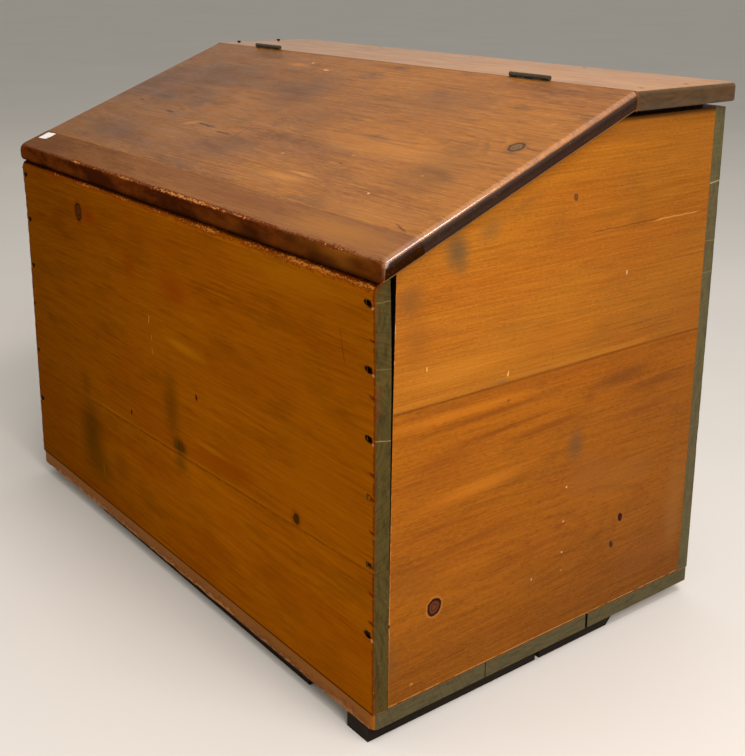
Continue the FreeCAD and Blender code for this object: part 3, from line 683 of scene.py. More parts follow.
        **sideFinish, "face": "leftSide", "seed": 53.0, "tones": lowTones,
        "rings": {"pith": (250, 45), "tilt": 0.08, "wander": 30, "spacing": 6.0, "contrast": 0.5},
        "knots": [
            knot((-380, 240), (9, 10), (104, 46, 18), (56, 22, 10), haloTint=(160, 80, 22), flow=(6, 2.6),
                 rings=3.0),
            knot((-130, 110), (5, 6), (104, 46, 18), (56, 22, 10), haloTint=(160, 80, 22), flow=(6, 2.6),
                 push=8, rings=2.0),
        ],
        "marks": [
            spot((-250, 330), (70, 14), (124, 68, 22), 0.95, 0.5),
            spot((-480, 90), (80, 40), (132, 72, 20), 0.95, 0.4),
        ],
        "lines": [
            seam(424.6, 1.6, 0.8, (84, 32, 8), 0.3),
            seam(44, 2.2, 0.7, (64, 30, 10), 0.3),
        ],
    },
    "leftUpper": {
        **sideFinish, "face": "leftSide", "seed": 61.0, "tones": amberTones,
        "rings": {"pith": (590, 50), "tilt": -0.1, "wander": 30, "spacing": 6.0, "contrast": 0.46},
        "knots": [
            knot((-210, 520), (6, 7), (104, 46, 18), (56, 22, 10), haloTint=(160, 80, 22), flow=(6, 2.6),
                 push=9, rings=2.4),
        ],
        "marks": [
            spot((-420, 600), (60, 20), (124, 68, 22), 0.95, 0.45),
        ],
        "lines": [
            seam(427.6, 1.4, 0.5, (96, 40, 10), 0.3),
        ],
    },
    "back": {
        "face": "back", "seed": 71.0, "tones": backTones, "rough": (0.55, 0.75), "gloss": 0.2,
        "endLines": backJoints,
        "rings": {"pith": (300, 60), "tilt": 0.06, "wander": 40, "spacing": 6.5, "contrast": 0.65},
        "knots": [
            knot((180, 150), (9, 11), rings=3.0),
            knot((-260, 430), (11, 12), push=16, rings=3.0),
            knot((330, 620), (7, 9), push=10, rings=2.5),
            knot((-90, 660), (5, 6), push=8, rings=2.0),
        ],
    },
    "bottom": {
        "face": "bottom", "seed": 83.0, "tones": bottomTones, "rough": (0.5, 0.7), "gloss": 0.12, "chip": 0.7,
        "rings": {"pith": (300, 60), "tilt": 0.06, "wander": 40, "spacing": 6.5, "contrast": 0.5},
        "shades": [(0, -520, 200, 0.62, 1.0)], "bareTop": True,
        # The middle edge tone is painted shade: near black on the faces in the gaps between the bottom boards
        "edges": [(-20, 12, 0.75, (122, 72, 8)), (20, 560, 1.0, (16, 11, 6)), (590, 640, 1.0, (104, 74, 46))],
    },
    "lidFront": {
        "face": "lid", "seed": 91.0, "tones": stripTones, "rough": (0.36, 0.48), "gloss": 0.0, "patches": 0.6,
        "smoke": 0.4, "fibre": 0.12, "darkDash": 0.3, "lightDash": 0.2, "fleck": 0.2, "shinyEnds": 1.0,
        "chip": 0.8, "rub": 0.85, "chipScale": (200, 480, 480), "dashScale": (24, 420, 420),
        "thickScale": (10, 150, 150),
        # The nose's darkest tone, at its foot, is painted shade above the gap to the front board
        "nose": {"tone": (100, 48, 11), "dark": (56, 22, 5), "rubbed": (138, 80, 24), "footShade": (18, 7, 2)},
        "rings": {"pith": (140, 60), "tilt": 0.04, "wander": 30, "spacing": 5.0, "contrast": 0.25},
        "shades": [(0, -500, 100, 0.76, 1.04)],
        "marks": [
            spot((400, 26), (130, 26), (148, 100, 52), 0.95, 0.6),
            spot((180, 30), (120, 14), (104, 68, 46), 0.95, 0.5),
            spot((-420, 24), (90, 22), (94, 62, 42), 0.95, 0.5),
        ],
        "lines": [
            seam(54, 1.1, 0.4, (150, 104, 60), 0.5, broken=0.44),
        ],
    },
    "lidMain": {
        "face": "lid", "seed": 97.0, "tones": lidTones, "rough": (0.32, 0.46), "gloss": 0.16, "patches": 0.7,
        "smoke": 0.55, "fibre": 0.16, "darkDash": 0.42, "lightDash": 0.26, "fleck": 0.3, "shinyEnds": 1.0,
        "chip": 0.7, "dashScale": (22, 430, 430), "thickScale": (9, 150, 150),
        "rings": {"pith": (250, 60), "tilt": 0.04, "wander": 24, "spacing": 5.0, "contrast": 0.35},
        "shades": [(0, -500, 260, 0.68, 1.1)],
        "knots": [
            knot((461, 263), (11, 11), (112, 80, 42), (74, 48, 24), (44, 26, 12), rimFrom=0.6,
                 haloTint=(98, 58, 24), haloReach=1.9, flow=(5, 2.4), push=12, rings=2.2),
            knot((3, 219), (9, 11), (126, 80, 38), (108, 64, 30), (84, 46, 20), rimStrength=0.45,
                 halo=0.2, haloTint=(110, 68, 32), flow=(4, 2.4), rings=1.6),
        ],
        "marks": [
            spot((-60, 310), (90, 90), (78, 50, 34), 0.97, 0.58, 24),
            spot((60, 250), (90, 50), (84, 54, 36), 0.97, 0.46, 12),
            spot((-300, 330), (120, 60), (84, 56, 34), 0.97, 0.46),
            spot((-330, 110), (100, 45), (84, 54, 36), 0.97, 0.46),
            spot((-20, 130), (90, 34), (84, 54, 36), 0.97, 0.48),
            spot((240, 340), (110, 50), (92, 62, 38), 0.97, 0.45),
            spot((400, 180), (60, 70), (104, 68, 30), 0.97, 0.5),
            spot((-460, 260), (50, 90), (86, 54, 32), 0.97, 0.5),
            spot((180, 96), (60, 9), (184, 124, 54), 0.9, 0.42),
            spot((205, 112), (34, 4), (196, 136, 64), 0.85, 0.4),
            spot((280, 200), (150, 26), (172, 112, 44), 0.95, 0.5),
            spot((400, 70), (110, 28), (152, 100, 46), 0.95, 0.45),
            spot((-180, 120), (80, 30), (146, 94, 42), 0.95, 0.4),
            spot((-180, 168), (26, 6), (170, 120, 66), 0.8, 0.5, 24),
            spot((-180, 390), (34, 6), (168, 108, 54), 0.8, 0.5),
            spot((-412, 203), (9, 2.4), (40, 22, 10), 0.6, 0.85, -2),
            spot((-281, 186), (20, 2.6), (36, 20, 10), 0.6, 0.9, -3),
            spot((-261, 199), (14, 2.2), (48, 28, 14), 0.6, 0.75, -2),
            spot((-135, 170), (34, 2.4), (30, 17, 9), 0.6, 0.95, -2),
            spot((-70, 160), (30, 2), (44, 26, 14), 0.6, 0.8, -1),
            spot((-36, 172), (1.6, 42), (74, 42, 24), 0.7, 0.6, 5),
            spot((-151, 401), (2, 4), (214, 158, 104), 0.5, 0.6),
            spot((-92, 384), (9, 2.6), (206, 146, 84), 0.5, 0.7),
            spot((114, 146), (4.5, 2.2), (196, 138, 76), 0.6, 0.6),
            spot((240, 176), (3.5, 2), (190, 132, 70), 0.6, 0.5),
            spot((355, 107), (3, 2), (216, 160, 106), 0.5, 0.75),
            spot((393, 165), (3, 1.8), (190, 132, 70), 0.5, 0.45),
            spot((465, 327), (5, 2), (196, 138, 76), 0.6, 0.45),
            spot((241, 153), (2.4, 2.6), (28, 16, 9), 0.5, 0.9),
            spot((486, 264), (20, 1.4), (66, 38, 18), 0.6, 0.7, -4),
            spot((425, 268), (20, 1.6), (80, 48, 22), 0.6, 0.5, 6),
            spot((470, 62), (18, 1.6), (60, 32, 14), 0.6, 0.7, -20),
        ],
        "lines": [
            seam(56, 1.2, 0.4, (164, 112, 60), 0.5, broken=0.44),
        ],
    },
    "top": {
        "face": "top", "seed": 101.0, "tones": topTones, "rough": (0.3, 0.42), "gloss": 0.42, "fibre": 0.12,
        "darkDash": 0.35, "lightDash": 0.3, "fleck": 0.2, "shinyEnds": 0.5, "chip": 0.7, "endFrom": 0.4,
        "rings": {"pith": (60, 50), "tilt": 0.05, "wander": 30, "spacing": 6.0, "contrast": 0.4},
        "shades": [(0, -500, 260, 0.86, 1.02)],
    },
}


def frontEndMarks(holes, gouges):
    # round the nails at both ends of the front: dark holes, chips and reddish gouges near the arris
    marks = []
    for height in holes:
        marks += [
            spot((487.5, height), (8.5, 4.6), (12, 5, 2), 0.35, 1.0, -14),
            spot((496.5, height - 4), (3, 2), (206, 150, 104), 0.5, 0.8),
        ]
    for height in gouges:
        marks += [
            spot((495, height), (7, 2.6), (74, 22, 3), 0.7, 0.8, -10),
            spot((498.5, height - 5), (1.6, 3), (186, 120, 60), 0.5, 0.6),
        ]
    marks.append(spot((500, 330), (4.4, 900), (82, 28, 4), 0.85, 0.85))
    return marks


boards["frontLower"]["endMarks"] = frontEndMarks((148,), (167, 205))
boards["frontUpper"]["endMarks"] = frontEndMarks((400, 484, 563), (241, 285, 328, 358, 452, 520))
woods = {name: woodMaterial(name + "Wood", wood) for name, wood in boards.items()}
print("board finishes made:", len(woods))


def ironMaterial(name, iron):
    material, tree, shader = newMaterial(name)
    place = addNode(tree, "ShaderNodeTexCoord").outputs["Object"]
    rust = cloud(tree, place, (160, 160, 160), 4.0, 0.65, iron["seed"])["Fac"]
    patch = (0.42, 0.62)
    fine = cloud(tree, place, (900, 900, 900), 3.0, 0.6, iron["seed"] + 3)["Fac"]
    colour = blendColour(tree, fade(tree, rust, *patch), tone(*iron["iron"]), tone(*iron["rust"]))
    colour = blendColour(tree, fade(tree, fine, 0.55, 0.75, 0.0, 0.5), colour, tone(*iron["crust"]))
    tree.links.new(colour, shader.inputs["Base Color"])
    tree.links.new(fade(tree, rust, *patch, *iron["rough"]), shader.inputs["Roughness"])
    tree.links.new(fade(tree, rust, *patch, iron["metal"], 0.0), shader.inputs["Metallic"])
    shader.inputs["Specular IOR Level"].default_value = iron["gloss"]
    bump = addNode(tree, "ShaderNodeBump", {"Height": fine, "Strength": 0.5, "Distance": 0.2 * mm})
    tree.links.new(bump.outputs[0], shader.inputs["Normal"])
    return material


irons = {
    "hinge": {"seed": 5, "iron": (70, 61, 42), "rust": (42, 32, 20), "crust": (26, 19, 12),
              "rough": (0.35, 0.7), "metal": 0.6, "gloss": 0.5},
    "nail": {"seed": 9, "iron": (14, 9, 7), "rust": (22, 11, 6), "crust": (34, 17, 9),
             "rough": (0.7, 0.9), "metal": 0.0, "gloss": 0.1},
}
ironWorks = {name: ironMaterial(name + "Iron", iron) for name, iron in irons.items()}

skidLook = {
    "tones": skidTones, "rough": (0.75, 0.9), "bareInside": 0.0, "gloss": 0.1, "fibre": 0.2,
    "rings": {"pith": (500, 30), "tilt": 0.02, "wander": 12, "spacing": 4.0, "contrast": 0.7},
}
skidWood = woodMaterial("skidWood", dict(skidLook, face="skid", seed=17.0))
frontSkidWood = woodMaterial("frontSkidWood", dict(skidLook, face="bottom", seed=19.0))
bareWood = woodMaterial("bareWood", {
    "face": "top", "seed": 29.0, "tones": bareTones, "rough": (0.62, 0.8), "gloss": 0.2, "bareInside": 0.0,
    "rings": {"pith": (60, 40), "tilt": 0.03, "wander": 20, "spacing": 5.0, "contrast": 0.7},
})
print("iron, skid and bare finishes made")


# Edit-mode helpers

def pickNone():
    if bpy.context.mode != "OBJECT":
        bpy.ops.object.mode_set(mode="OBJECT")
    bpy.ops.object.select_all(action="DESELECT")


def pick(piece):
    pickNone()
    piece.select_set(True)
    bpy.context.view_layer.objects.active = piece


def applyPlace():
    bpy.ops.object.transform_apply(location=True, rotation=True, scale=True)


def startBoard(name, low, high):
    pickNone()
    low, high = Vector(low), Vector(high)
    bpy.ops.mesh.primitive_cube_add(size=1, location=(low + high) / 2, scale=high - low)
    applyPlace()
    piece = bpy.context.object
    piece.name = piece.data.name = name
    return piece


def startEdit(piece, kind):
    pick(piece)
    bpy.ops.object.mode_set(mode="EDIT")
    bpy.ops.mesh.select_mode(type=kind)


def selectVertices(piece, test):
    startEdit(piece, "VERT")
    mesh = bmesh.from_edit_mesh(piece.data)
    for vertex in mesh.verts:
        vertex.select_set(test(vertex.co))
    mesh.select_flush_mode()
    bmesh.update_edit_mesh(piece.data)


def selectEdges(piece, test):
    # edges for which test(direction, middle) holds
    startEdit(piece, "EDGE")
    bpy.ops.mesh.select_all(action="DESELECT")
    mesh = bmesh.from_edit_mesh(piece.data)
    count = 0
    for edge in mesh.edges:
        start, end = (vertex.co for vertex in edge.verts)
        if test(end - start, (start + end) / 2):
            edge.select_set(True)
            count += 1
    mesh.select_flush_mode()
    bmesh.update_edit_mesh(piece.data)
    return count


def parallel(direction, axis):
    nearlyOne = 0.995         # the cosine of 6 degrees
    return abs(direction.normalized().dot(Vector(axis))) > nearlyOne


def roundEdges(piece, test, radius, segments=3):
    if selectEdges(piece, test):
        bpy.ops.mesh.bevel(offset=radius, offset_type="OFFSET", segments=segments, affect="EDGES")
    bpy.ops.object.mode_set(mode="OBJECT")


def trimBoard(piece, point, outward):
    # saws off what lies outward of a plane
    pick(piece)
    bpy.ops.object.mode_set(mode="EDIT")
    bpy.ops.mesh.select_all(action="SELECT")
    bpy.ops.mesh.bisect(plane_co=point, plane_no=outward, use_fill=True, clear_outer=True)
    bpy.ops.mesh.select_all(action="SELECT")
    bpy.ops.mesh.normals_make_consistent(inside=False)
    bpy.ops.object.mode_set(mode="OBJECT")


def cutAcross(piece, axis, step, shortest=20 * mm):
    # even cuts through the edges that run along an axis, in two passes where one would make too many
    mostCuts = 100
    lengths = [
        (piece.data.vertices[a].co - piece.data.vertices[b].co).length
        for a, b in (edge.vertices for edge in piece.data.edges)
        if parallel(piece.data.vertices[a].co - piece.data.vertices[b].co, axis)
    ]
    count = round(max(lengths) / step)
    passes = [count]
    if count > mostCuts:
        first = math.ceil(count / mostCuts) + 1
        passes = [first, round(count / first)]
    for parts in passes:
        selectEdges(piece, lambda d, m: parallel(d, axis) and d.length > shortest)
        bpy.ops.mesh.subdivide(number_cuts=parts - 1)
        bpy.ops.object.mode_set(mode="OBJECT")


def applyModifiers(piece):
    pick(piece)
    for modifier in list(piece.modifiers):
        bpy.ops.object.modifier_apply(modifier=modifier.name)


def findArrises(piece):
    # points along every sharp edge, as the board was sawn
    sharp, spacing = math.radians(30), 2 * mm
    mesh = bmesh.new()
    mesh.from_mesh(piece.data)
    points = []
    for edge in mesh.edges:
        if len(edge.link_faces) == 2 and edge.calc_face_angle() > sharp:
            start, end = (vertex.co for vertex in edge.verts)
            count = max(1, round((end - start).length / spacing))
            points += [start.lerp(end, i / count) for i in range(count + 1)]
    mesh.free()
    return points


def wearEdges(piece, arrises, wear):
    # rubbed arrises: a weight that sinks chips, and an amount that bares the wood in the finish
    patchScale = 14           # waves per metre along an arris, from more to less wear
    whole, steep = 0.4, 3.0   # the share of an arris that stays whole, and how sharply a chip sets in
    tree = kdtree.KDTree(len(arrises))
    for index, point in enumerate(arrises):
        tree.insert(point, index)
    tree.balance()
    group = piece.vertex_groups.new(name="sink")
    offset = Vector((wear["seed"], 0, 0))
    sinks, amounts = [], []
    for vertex in piece.data.vertices:
        nearest, _, away = tree.find(vertex.co)
        reach, rubbed = wear["reach"], wear["rubbed"]
        for test, otherReach, otherRubbed in wear.get("places", ()):
            if test(nearest):
                reach, rubbed = otherReach, otherRubbed
        near = max(0.0, 1 - away / reach)
        patch = noise.fractal(nearest * patchScale + offset, 1.0, 2.0, 3) * wear.get("uneven", 0.6)
        level = min(1.0, max(0.0, rubbed + patch)) if rubbed > 0 else 0.0
        chip = noise.fractal(vertex.co * wear["scale"] + offset, 1.0, 2.0, 4) * 0.5 + 0.5
        sinks.append(min(1.0, max(0.0, (chip - whole) * steep)) * min(1.0, near * 2) * level)
        amounts.append(near * level)
    for index, amount in enumerate(sinks):
        if amount > 0.001:
            group.add([index], amount, "REPLACE")
    piece.data.attributes.new("worn", "FLOAT", "POINT")
    piece.data.attributes["worn"].data.foreach_set("value", amounts)
    modifier = piece.modifiers.new("chips", "DISPLACE")
    modifier.strength = -wear["depth"]
    modifier.mid_level = 0.0
    modifier.vertex_group = "sink"
    applyModifiers(piece)


def warpFaces(piece, strength, size, seed):
    # the slow unevenness of planed boards, always inwards
    texture = bpy.data.textures.new(piece.name + "Warp", "CLOUDS")
    texture.noise_scale = size
    texture.noise_depth = 1
    helper = bpy.data.objects.new("warpPlace", None)
    bpy.context.scene.collection.objects.link(helper)
    helper.location = (seed, seed * 0.37, seed * 0.71)
    bpy.context.view_layer.update()
    modifier = piece.modifiers.new("warp", "DISPLACE")
    modifier.texture = texture
    modifier.texture_coords = "OBJECT"
    modifier.texture_coords_object = helper
    modifier.strength = strength
    modifier.mid_level = 1.0
    applyModifiers(piece)
    bpy.data.objects.remove(helper)


def finishBoard(piece, body, replaced, material):
    pick(piece)
    piece.data.materials.clear()
    piece.data.materials.append(material)
    smoothest = 40            # degrees; sharper edges stay sharp
    bpy.ops.object.shade_smooth_by_angle(angle=math.radians(smoothest))
    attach(piece, body)
    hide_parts(replaced)


def joinPieces(parts, name):
    pick(parts[0])
    for part in parts:
        part.select_set(True)
    if len(parts) > 1:
        bpy.ops.object.join()
    joined = bpy.context.object
    joined.name = joined.data.name = name
    return joined


def cutOut(piece, cutter):
    modifier = piece.modifiers.new("pockets", "BOOLEAN")
    modifier.operation = "DIFFERENCE"
    modifier.solver = "EXACT"
    modifier.object = cutter
    applyModifiers(piece)
    bpy.data.objects.remove(cutter)


def boxOf(corners):
    return (Vector([min(co[i] for co in corners) for i in range(3)]),
            Vector([max(co[i] for co in corners) for i in range(3)]))


def findHeads(nodeName, axis, side):
    # the box of each nail's head in a node of nails driven along one axis; side is where the heads are
    mesh = bmesh.new()
    mesh.from_mesh(nodes[nodeName].data)
    bmesh.ops.remove_doubles(mesh, verts=mesh.verts, dist=touch)
    heads, seen = [], set()
    for first in mesh.verts:
        if first in seen:
            continue
        island, waiting = [], [first]
        seen.add(first)
        while waiting:
            vertex = waiting.pop()
            island.append(vertex.co.copy())
            for edge in vertex.link_edges:
                other = edge.other_vert(vertex)
                if other not in seen:
                    seen.add(other)
                    waiting.append(other)
        crown = max(co[axis] * side for co in island)
        head = [co for co in island if co[axis] * side > crown - 1 * mm]
        heads.append(boxOf(head))
    mesh.free()
    return heads


def nailPockets(piece, nodeName, axis, side, pocket):
    # ragged holes over sunk heads
    depth, overHead, raggedScale = 5 * mm, 0.1 * mm, 300
    noise.seed_set(pocket["seed"])
    low, high = boxOf([vertex.co for vertex in piece.data.vertices])
    cutters = []
    for index, (headLow, headHigh) in enumerate(findHeads(nodeName, axis, side)):
        middle = (headLow + headHigh) / 2
        if any(not low[i] < middle[i] < high[i] for i in range(3) if i != axis):
            continue
        grow = pocket["wide"] + pocket["vary"] * noise.random()
        size = (headHigh - headLow) + Vector((grow, grow, grow))
        size[axis] = 2 * depth
        place = middle.copy()
        place[axis] = (headHigh if side > 0 else headLow)[axis] + side * depth - side * overHead
        bpy.ops.object.select_all(action="DESELECT")
        bpy.ops.mesh.primitive_cube_add(size=1, location=place, scale=size)
        applyPlace()
        cutter = bpy.context.object
        for vertex in cutter.data.vertices:
            nudge = noise.noise_vector(vertex.co * raggedScale + Vector((pocket["seed"] + index, 0, 0)))
            vertex.co += nudge * pocket["ragged"]
        cutters.append(cutter)
    if cutters:
        cutOut(piece, joinPieces(cutters, "cutter"))


# Front: two boards, the upper one cupped outwards at its top

upperPart = 0.55              # the front's upper edge lies above this height, and its joint below it


def onFrontTop(point):
    return point.z > upperPart and point.y < frontFace + 2 * mm


def onFrontEnd(point):
    return abs(point.x) > bodyEnd - 1 * mm and point.y < frontFace + 6 * mm


frontShape = {
    "seam": (205 * mm, 233 * mm),     # height of the joint at the left and right ends
    "cup": 3.7 * mm,                  # how far the top stands out
    "cupRows": 20,
    "topRound": 9 * mm,
    "arris": 1.5 * mm,
    "joint": 0.5 * mm,
    "step": 4 * mm,
    "wear": {
        "seed": 3, "scale": 70, "depth": 1.2 * mm, "reach": 2 * mm, "rubbed": 0, "uneven": 0.4,
        "places": [     # each with the reach of its wear and the amount
            (onFrontTop, 8 * mm, 0.5),
            (lambda p: onFrontTop(p) and p.x > -0.4, 9 * mm, 0.84),
            (lambda p: onFrontTop(p) and p.x > 0.1, 11 * mm, 0.8),
            (onFrontEnd, 4 * mm, 0.46),
            (lambda p: onFrontEnd(p) and p.x > 0 and p.z < 130 * mm, 4.5 * mm, 0.62),
        ],
    },
    "warp": (0.5 * mm, 0.25),
    "pocket": {"wide": 2.6 * mm, "vary": 0.8 * mm, "ragged": 0.8 * mm, "seed": 4},
}
seamRise = (frontShape["seam"][1] - frontShape["seam"][0]) / (2 * bodyEnd)
seamPoint = Vector((0, 0, (frontShape["seam"][0] + frontShape["seam"][1]) / 2))
seamUp = Vector((-seamRise, 0, 1)).normalized()
lidUnderPoint = lidCorner - offLid * lidShape["thick"]
frontTopPoint = lidUnderPoint - Vector((0, 0, lidShape["gap"]))


def cupBoard(piece, shape):
    # each row of the board moves out along an arc that starts level with the sides' joint
    top = frontTopPoint.z + (innerFront - frontFace) * math.tan(lidSlope)
    height = top - sideSeam
    radius = (height ** 2 + shape["cup"] ** 2) / (2 * shape["cup"])
    levels = sorted({round(vertex.co.z, 6) for vertex in piece.data.vertices})
    startEdit(piece, "VERT")
    for level in levels:
        rise = level - sideSeam
        if rise <= 0:
            continue
        mesh = bmesh.from_edit_mesh(piece.data)
        for vertex in mesh.verts:
            vertex.select_set(abs(vertex.co.z - level) < touch)
        mesh.select_flush_mode()
        out = radius - math.sqrt(radius ** 2 - rise ** 2)
        bpy.ops.transform.translate(value=(0, -out, 0))
    bpy.ops.object.mode_set(mode="OBJECT")


def makeFrontBoard(shape, upper):
    outerEdge, spare = frontFace + 1 * mm, 10 * mm
    if upper:
        top = frontTopPoint.z + 2 * (innerFront - frontFace) * math.tan(lidSlope)
        piece = startBoard("frontBoardUpper", (-bodyEnd, frontFace, shape["seam"][0] - spare),
                           (bodyEnd, innerFront, top))
        cutAcross(piece, upright, (top - shape["seam"][0]) / shape["cupRows"])
        cupBoard(piece, shape)
        trimBoard(piece, seamPoint, -seamUp)
        trimBoard(piece, frontTopPoint, offLid)
    else:
        piece = startBoard("frontBoardLower", (-bodyEnd, frontFace, floorTop),
                           (bodyEnd, innerFront, shape["seam"][1] + spare))
        trimBoard(piece, seamPoint, seamUp)
    arrises = findArrises(piece)
    if upper:
        roundEdges(piece, lambda d, m: parallel(d, lengthwise) and m.y < outerEdge and m.z > upperPart,
                   shape["topRound"], 6)
    roundEdges(piece, lambda d, m: abs(d.z) > 1 * mm and abs(d.x) < touch and abs(m.x) > bodyEnd - touch
               and m.y < outerEdge, shape["arris"], 3)
    roundEdges(piece, lambda d, m: abs(d.x) > 0.5 and m.z < 0.3 and m.y < outerEdge, shape["joint"], 2)
    cutAcross(piece, lengthwise, shape["step"])
    cutAcross(piece, upright, shape["step"], 6 * mm)
    warpFaces(piece, *shape["warp"], 4.2 if upper else 9.1)
    nailPockets(piece, "front_nails", 1, -1, shape["pocket"])
    wearEdges(piece, arrises, shape["wear"])
    return piece


frontLower = makeFrontBoard(frontShape, False)
finishBoard(frontLower, "carcass", "front_board_lower", woods["frontLower"])
frontUpper = makeFrontBoard(frontShape, True)
finishBoard(frontUpper, "carcass", "front_board_upper", woods["frontUpper"])
print("front boards made:", len(frontLower.data.vertices), len(frontUpper.data.vertices))


# Sides: two boards each, the upper one cut to the lid's slope

sideShape = {
    "gapTop": 5 * mm,             # the front edge stands back from the front board, more towards its top
    "gapSeam": 2.4 * mm,
    "gapFoot": 0.16,              # the gap opens from this height upwards
    "joint": 0.5 * mm,
    "step": 5 * mm,
    "wear": {"seed": 13, "scale": 60, "depth": 0.6 * mm, "reach": 2 * mm, "rubbed": 0},
    "warp": (0.6 * mm, 0.3),
}


def makeSideBoard(shape, side, upper):
    name = "sideBoard" + ("Right" if side > 0 else "Left") + ("Upper" if upper else "Lower")
    nodeName = "side_board_" + ("right" if side > 0 else "left") + ("_upper" if upper else "_lower")
    low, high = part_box(nodeName)
    piece = startBoard(name, (low.x, innerFront, low.z), (high.x, high.y, high.z))
    outer = bodyEnd - 1 * mm
    roundEdges(piece, lambda d, m: parallel(d, crosswise) and side * m.x > outer and abs(m.z - sideSeam) < mm,
               shape["joint"], 2)
    cutAcross(piece, crosswise, shape["step"])
    cutAcross(piece, upright, shape["step"], 6 * mm)
    if upper:
        trimBoard(piece, lidUnderPoint, offLid)
        rise = lidUnderPoint.z + (innerFront - frontFace) * math.tan(lidSlope) - sideSeam
        trimBoard(piece, (0, innerFront + shape["gapSeam"], sideSeam),
                  Vector((0, -rise, shape["gapTop"] - shape["gapSeam"])).normalized())
    else:
        trimBoard(piece, (0, innerFront, shape["gapFoot"]),
                  Vector((0, shape["gapFoot"] - sideSeam, shape["gapSeam"])).normalized())
    arrises = findArrises(piece)
    warpFaces(piece, *shape["warp"], side * 2.3 + upper)
    wearEdges(piece, arrises, shape["wear"])
    wood = ("side" if side > 0 else "left") + ("Upper" if upper else "Lower")
    finishBoard(piece, "carcass", nodeName, woods[wood])


for side in (1, -1):
    for upper in (False, True):
        makeSideBoard(sideShape, side, upper)
print("side boards made")


# Back and bottom boards

backShape = {
    "arris": 1.5 * mm, "joint": 0.6 * mm, "step": 8 * mm,
    "wear": {"seed": 21, "scale": 60, "depth": 1.2 * mm, "reach": 3 * mm, "rubbed": 0.2},
    "warp": (0.8 * mm, 0.3),
    "pocket": {"wide": 0.6 * mm, "vary": 1.0 * mm, "ragged": 0.5 * mm, "seed": 30},
}
bottomShape = {
    "corner": 10 * mm, "joint": 0.8 * mm, "step": 8 * mm,
    "wear": {
        "seed": 33, "scale": 60, "depth": 1.2 * mm, "reach": 3 * mm, "rubbed": 0,
        "places": [(lambda p: p.z < 21 * mm and p.y < frontFace + 2 * mm, 4.5 * mm, 0.95)],
    },
    "warp": (0.6 * mm, 0.3),
    "pocket": {"wide": 0.5 * mm, "vary": 0.5 * mm, "ragged": 0.3 * mm, "seed": 50},
}


def makeBackBoard(shape, which):
    low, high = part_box("back_board_" + which)
    piece = startBoard("backBoard" + which.capitalize(), low, high)
    arrises = findArrises(piece)
    roundEdges(piece, lambda d, m: parallel(d, upright) and m.y > backFace - 1 * mm, shape["arris"], 3)
    roundEdges(piece, lambda d, m: parallel(d, lengthwise), shape["joint"], 2)
    cutAcross(piece, lengthwise, shape["step"])
    cutAcross(piece, upright, shape["step"])
    warpFaces(piece, *shape["warp"], low.z * 9)
    nailPockets(piece, "back_nails", 1, 1, shape["pocket"])
    wearEdges(piece, arrises, shape["wear"])
    finishBoard(piece, "carcass", "back_board_" + which, woods["back"])


def makeBottomBoard(shape, which):
    low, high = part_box("bottom_board_" + which)
    piece = startBoard("bottomBoard" + which.capitalize(), low, high)
    arrises = findArrises(piece)
    if which == "front":
        roundEdges(piece, lambda d, m: parallel(d, upright) and m.y < low.y + 1 * mm, shape["corner"], 6)
    if which == "back":
        roundEdges(piece, lambda d, m: parallel(d, upright) and m.y > high.y - 1 * mm,
                   shape["corner"] / 2, 4)
    roundEdges(piece, lambda d, m: parallel(d, lengthwise), shape["joint"], 2)
    cutAcross(piece, lengthwise, shape["step"])
    cutAcross(piece, crosswise, shape["step"])
    warpFaces(piece, *shape["warp"], low.y * 7)
    nailPockets(piece, "bottom_nails", 2, -1, shape["pocket"])
    wearEdges(piece, arrises, shape["wear"])
    finishBoard(piece, "carcass", "bottom_board_" + which, woods["bottom"])


for which in ("lower", "middle", "upper"):
    makeBackBoard(backShape, which)
for which in ("front", "middle", "back"):
    makeBottomBoard(bottomShape, which)
print("back and bottom boards made")


# Fixed top

topShape = {
    "corner": 10 * mm, "round": 6 * mm, "under": 3 * mm, "step": 5 * mm,
    "wear": {
        "seed": 41, "scale": 50, "depth": 0.6 * mm, "reach": 3 * mm, "rubbed": 0,
        "places": [(lambda p: p.z > topHeight - 1 * mm and p.y > topFront + 5 * mm, 5 * mm, 0.12)],
    },
    "warp": (0.5 * mm, 0.3),
    "pocket": {"wide": 0.3 * mm, "vary": 0.6 * mm, "ragged": 0.3 * mm, "seed": 60},
}


def leafMortises(piece, leafKind, facing):
    # pockets for the hinge leaves, open at the board's edge and upper face
    beyond, deep, above = 5 * mm, 2.2 * mm, 10 * mm
    cutters = []
    for which in ("left", "right"):
        low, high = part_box("hinge_" + which + "_" + leafKind + "_leaf")
        near, far = sorted((hingeLine - facing * beyond, hingeLine + facing * deep))
        cutters.append(startBoard("mortise", (low.x, near, low.z), (high.x, far, topHeight + above)))
    cutOut(piece, joinPieces(cutters, "cutter"))


def makeTopBoard(shape):
    low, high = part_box("top_board")
    piece = startBoard("topBoard", low, high)
    arrises = findArrises(piece)
    roundEdges(piece, lambda d, m: parallel(d, upright) and m.y > topFront + 1 * mm, shape["corner"], 5)
    roundEdges(piece, lambda d, m: m.z > high.z - touch and m.y > topFront + 1 * mm, shape["round"], 5)
    roundEdges(piece, lambda d, m: m.z < low.z + touch and m.y > topFront + 1 * mm, shape["under"], 2)
    cutAcross(piece, lengthwise, shape["step"])
    cutAcross(piece, crosswise, shape["step"])
    warpFaces(piece, *shape["warp"], 3.3)
    leafMortises(piece, "top", 1)
    nailPockets(piece, "top_nails", 2, 1, shape["pocket"])
    wearEdges(piece, arrises, shape["wear"])
    finishBoard(piece, "carcass", "top_board", woods["top"])


makeTopBoard(topShape)
print("fixed top made")


# Lid: a narrow front board and a wide one

def onNose(point):
    return point.y < frontFace + 1 * mm and point.z > lidCorner.z - 5 * mm


